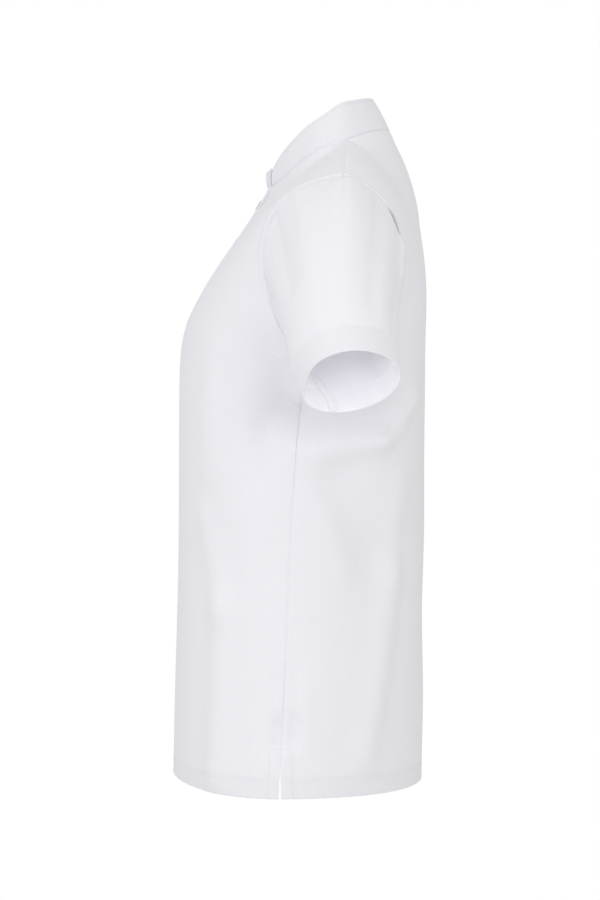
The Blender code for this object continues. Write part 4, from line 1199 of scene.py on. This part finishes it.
def make_sewing(front, back, rows):
    """The lines of stitches that show on the body: hems, vents and the tacks over the vents."""
    hem = int(np.searchsorted(rows, round(HEM_STITCH / HEM_ROW_TALL, 6)))
    for label, (_, grid, outward) in (("front", front), ("back", back)):
        for offset, row in (("lower", hem), ("upper", hem + 2)):
            line, way = grid[row, 6:-6], outward[row, 6:-6]
            stitches(f"hem_{label}_{offset}_stitches", line, way, width=0.0003, lift=0.00004)
        across, up = lengths(grid, 1), lengths(grid, 0)
        tall = int((up[:, up.shape[1] // 2] < VENT_TALL).sum())
        for side, step in (("a", 1), ("b", -1)):
            values, ways = grid[:, ::step], outward[:, ::step]
            distance = across if side == "a" else (across[:, -1:] - across)[:, ::-1]
            line, way = (along_edge(part[1:tall], distance[1:tall], VENT_FACING) for part in (values, ways))
            stitches(f"vent_{label}_{side}_stitches", line, way)
            count = int((distance[tall] < VENT_FACING).sum())
            stitches(f"vent_{label}_{side}_bar_stitches", values[tall, :count], ways[tall, :count])


def make_shirt():
    """Every piece of the shirt."""
    rows, columns = fine_rows(), fine_columns()
    front, back = make_body(rows, columns)
    ring, under = even_ring(*armhole_ring(front[1], back[1], rows))
    near = NEAR_EDGE / SLEEVE_RUN
    steps = np.unique(np.concatenate([np.linspace(0, 1, 34), near, 1 - near]))
    sleeve, sleeve_out, turns = sleeve_grid(ring, under, steps)
    sleeves = make_sleeves(tucked(sleeve, ring), turns)
    make_allowances(sleeve, sleeve_out, turns)
    cuffs = make_cuffs()
    collar = make_collar()
    over, under_band, over_grid, over_out = make_placket()
    make_buttons(over_grid, over_out)
    make_sewing(front, back, rows)


def make_camera():
    """The photo's view: level, from the wearer's left, far enough to bow the hem a little."""
    camera = bpy.data.cameras.new("camera")
    camera.sensor_fit = "VERTICAL"
    camera.sensor_height = 36.0
    camera.lens = CAMERA_AWAY / METRES_PER_PIXEL / PICTURE_HEIGHT * camera.sensor_height
    camera.clip_end = 50.0
    holder = add_object("camera", camera)
    holder.location = (CAMERA_AWAY, *CAMERA_AT)
    holder.rotation_euler = (np.pi / 2, 0, np.pi / 2)
    bpy.context.scene.camera = holder


def area_light(name, place, size, power, colour):
    """A round soft lamp that points at the chest."""
    light = bpy.data.lights.new(name, "AREA")
    light.shape, light.size, light.energy = "DISK", size, power
    light.color = linear(colour)[:3]
    holder = add_object(name, light)
    holder.location = place
    holder.rotation_euler = (Vector(LIT_POINT) - Vector(place)).to_track_quat("-Z", "Y").to_euler()


def lamp_inside(name, place, power, radius):
    """A small lamp inside the shirt, which stands for the light that thin white cloth lets in."""
    light = bpy.data.lights.new(name, "POINT")
    light.energy, light.shadow_soft_size = power, radius
    holder = add_object(name, light)
    holder.location = place
    holder.visible_camera = False


def make_studio():
    """A round pale floor well below the shirt, a white surround that the camera sees brighter than
    it lights, large soft lamps, most of them on the photo's side, and small ones in the sleeves."""
    work = bmesh.new()
    bmesh.ops.create_circle(work, cap_ends=True, segments=96, radius=FLOOR_RADIUS)
    mesh = bpy.data.meshes.new("floor")
    work.to_mesh(mesh)
    work.free()
    mesh.transform(Matrix.Translation((0, 0, FLOOR_LEVEL)))
    mesh.materials.append(studio_floor())
    add_object("floor", mesh)
    world = bpy.data.worlds.new("studio")
    world.use_nodes = True
    tree = world.node_tree
    lit = tree.nodes["Background"]
    lit.inputs["Color"].default_value = linear("#FFFFFF")
    lit.inputs["Strength"].default_value = SURROUND_LIGHT
    seen = add_node(tree, "ShaderNodeBackground", {"Color": linear("#FFFFFF"), "Strength": 1.0})
    path = add_node(tree, "ShaderNodeLightPath")
    mixed = [("Fac", path, "Is Camera Ray"), (1, lit, 0), (2, seen, 0)]
    both = add_node(tree, "ShaderNodeMixShader", links=mixed)
    tree.links.new(both.outputs[0], tree.nodes["World Output"].inputs["Surface"])
    bpy.context.scene.world = world
    bpy.context.scene.view_settings.view_transform = "Standard"
    for lamp in LAMPS:
        area_light(*lamp)
    for side, sign in SIDES:
        for name, (x, y, z), power, radius in LAMPS_INSIDE:
            lamp_inside(f"{side}_{name}", (sign * x, y, z), power, radius)


make_camera()
make_studio()
make_shirt()
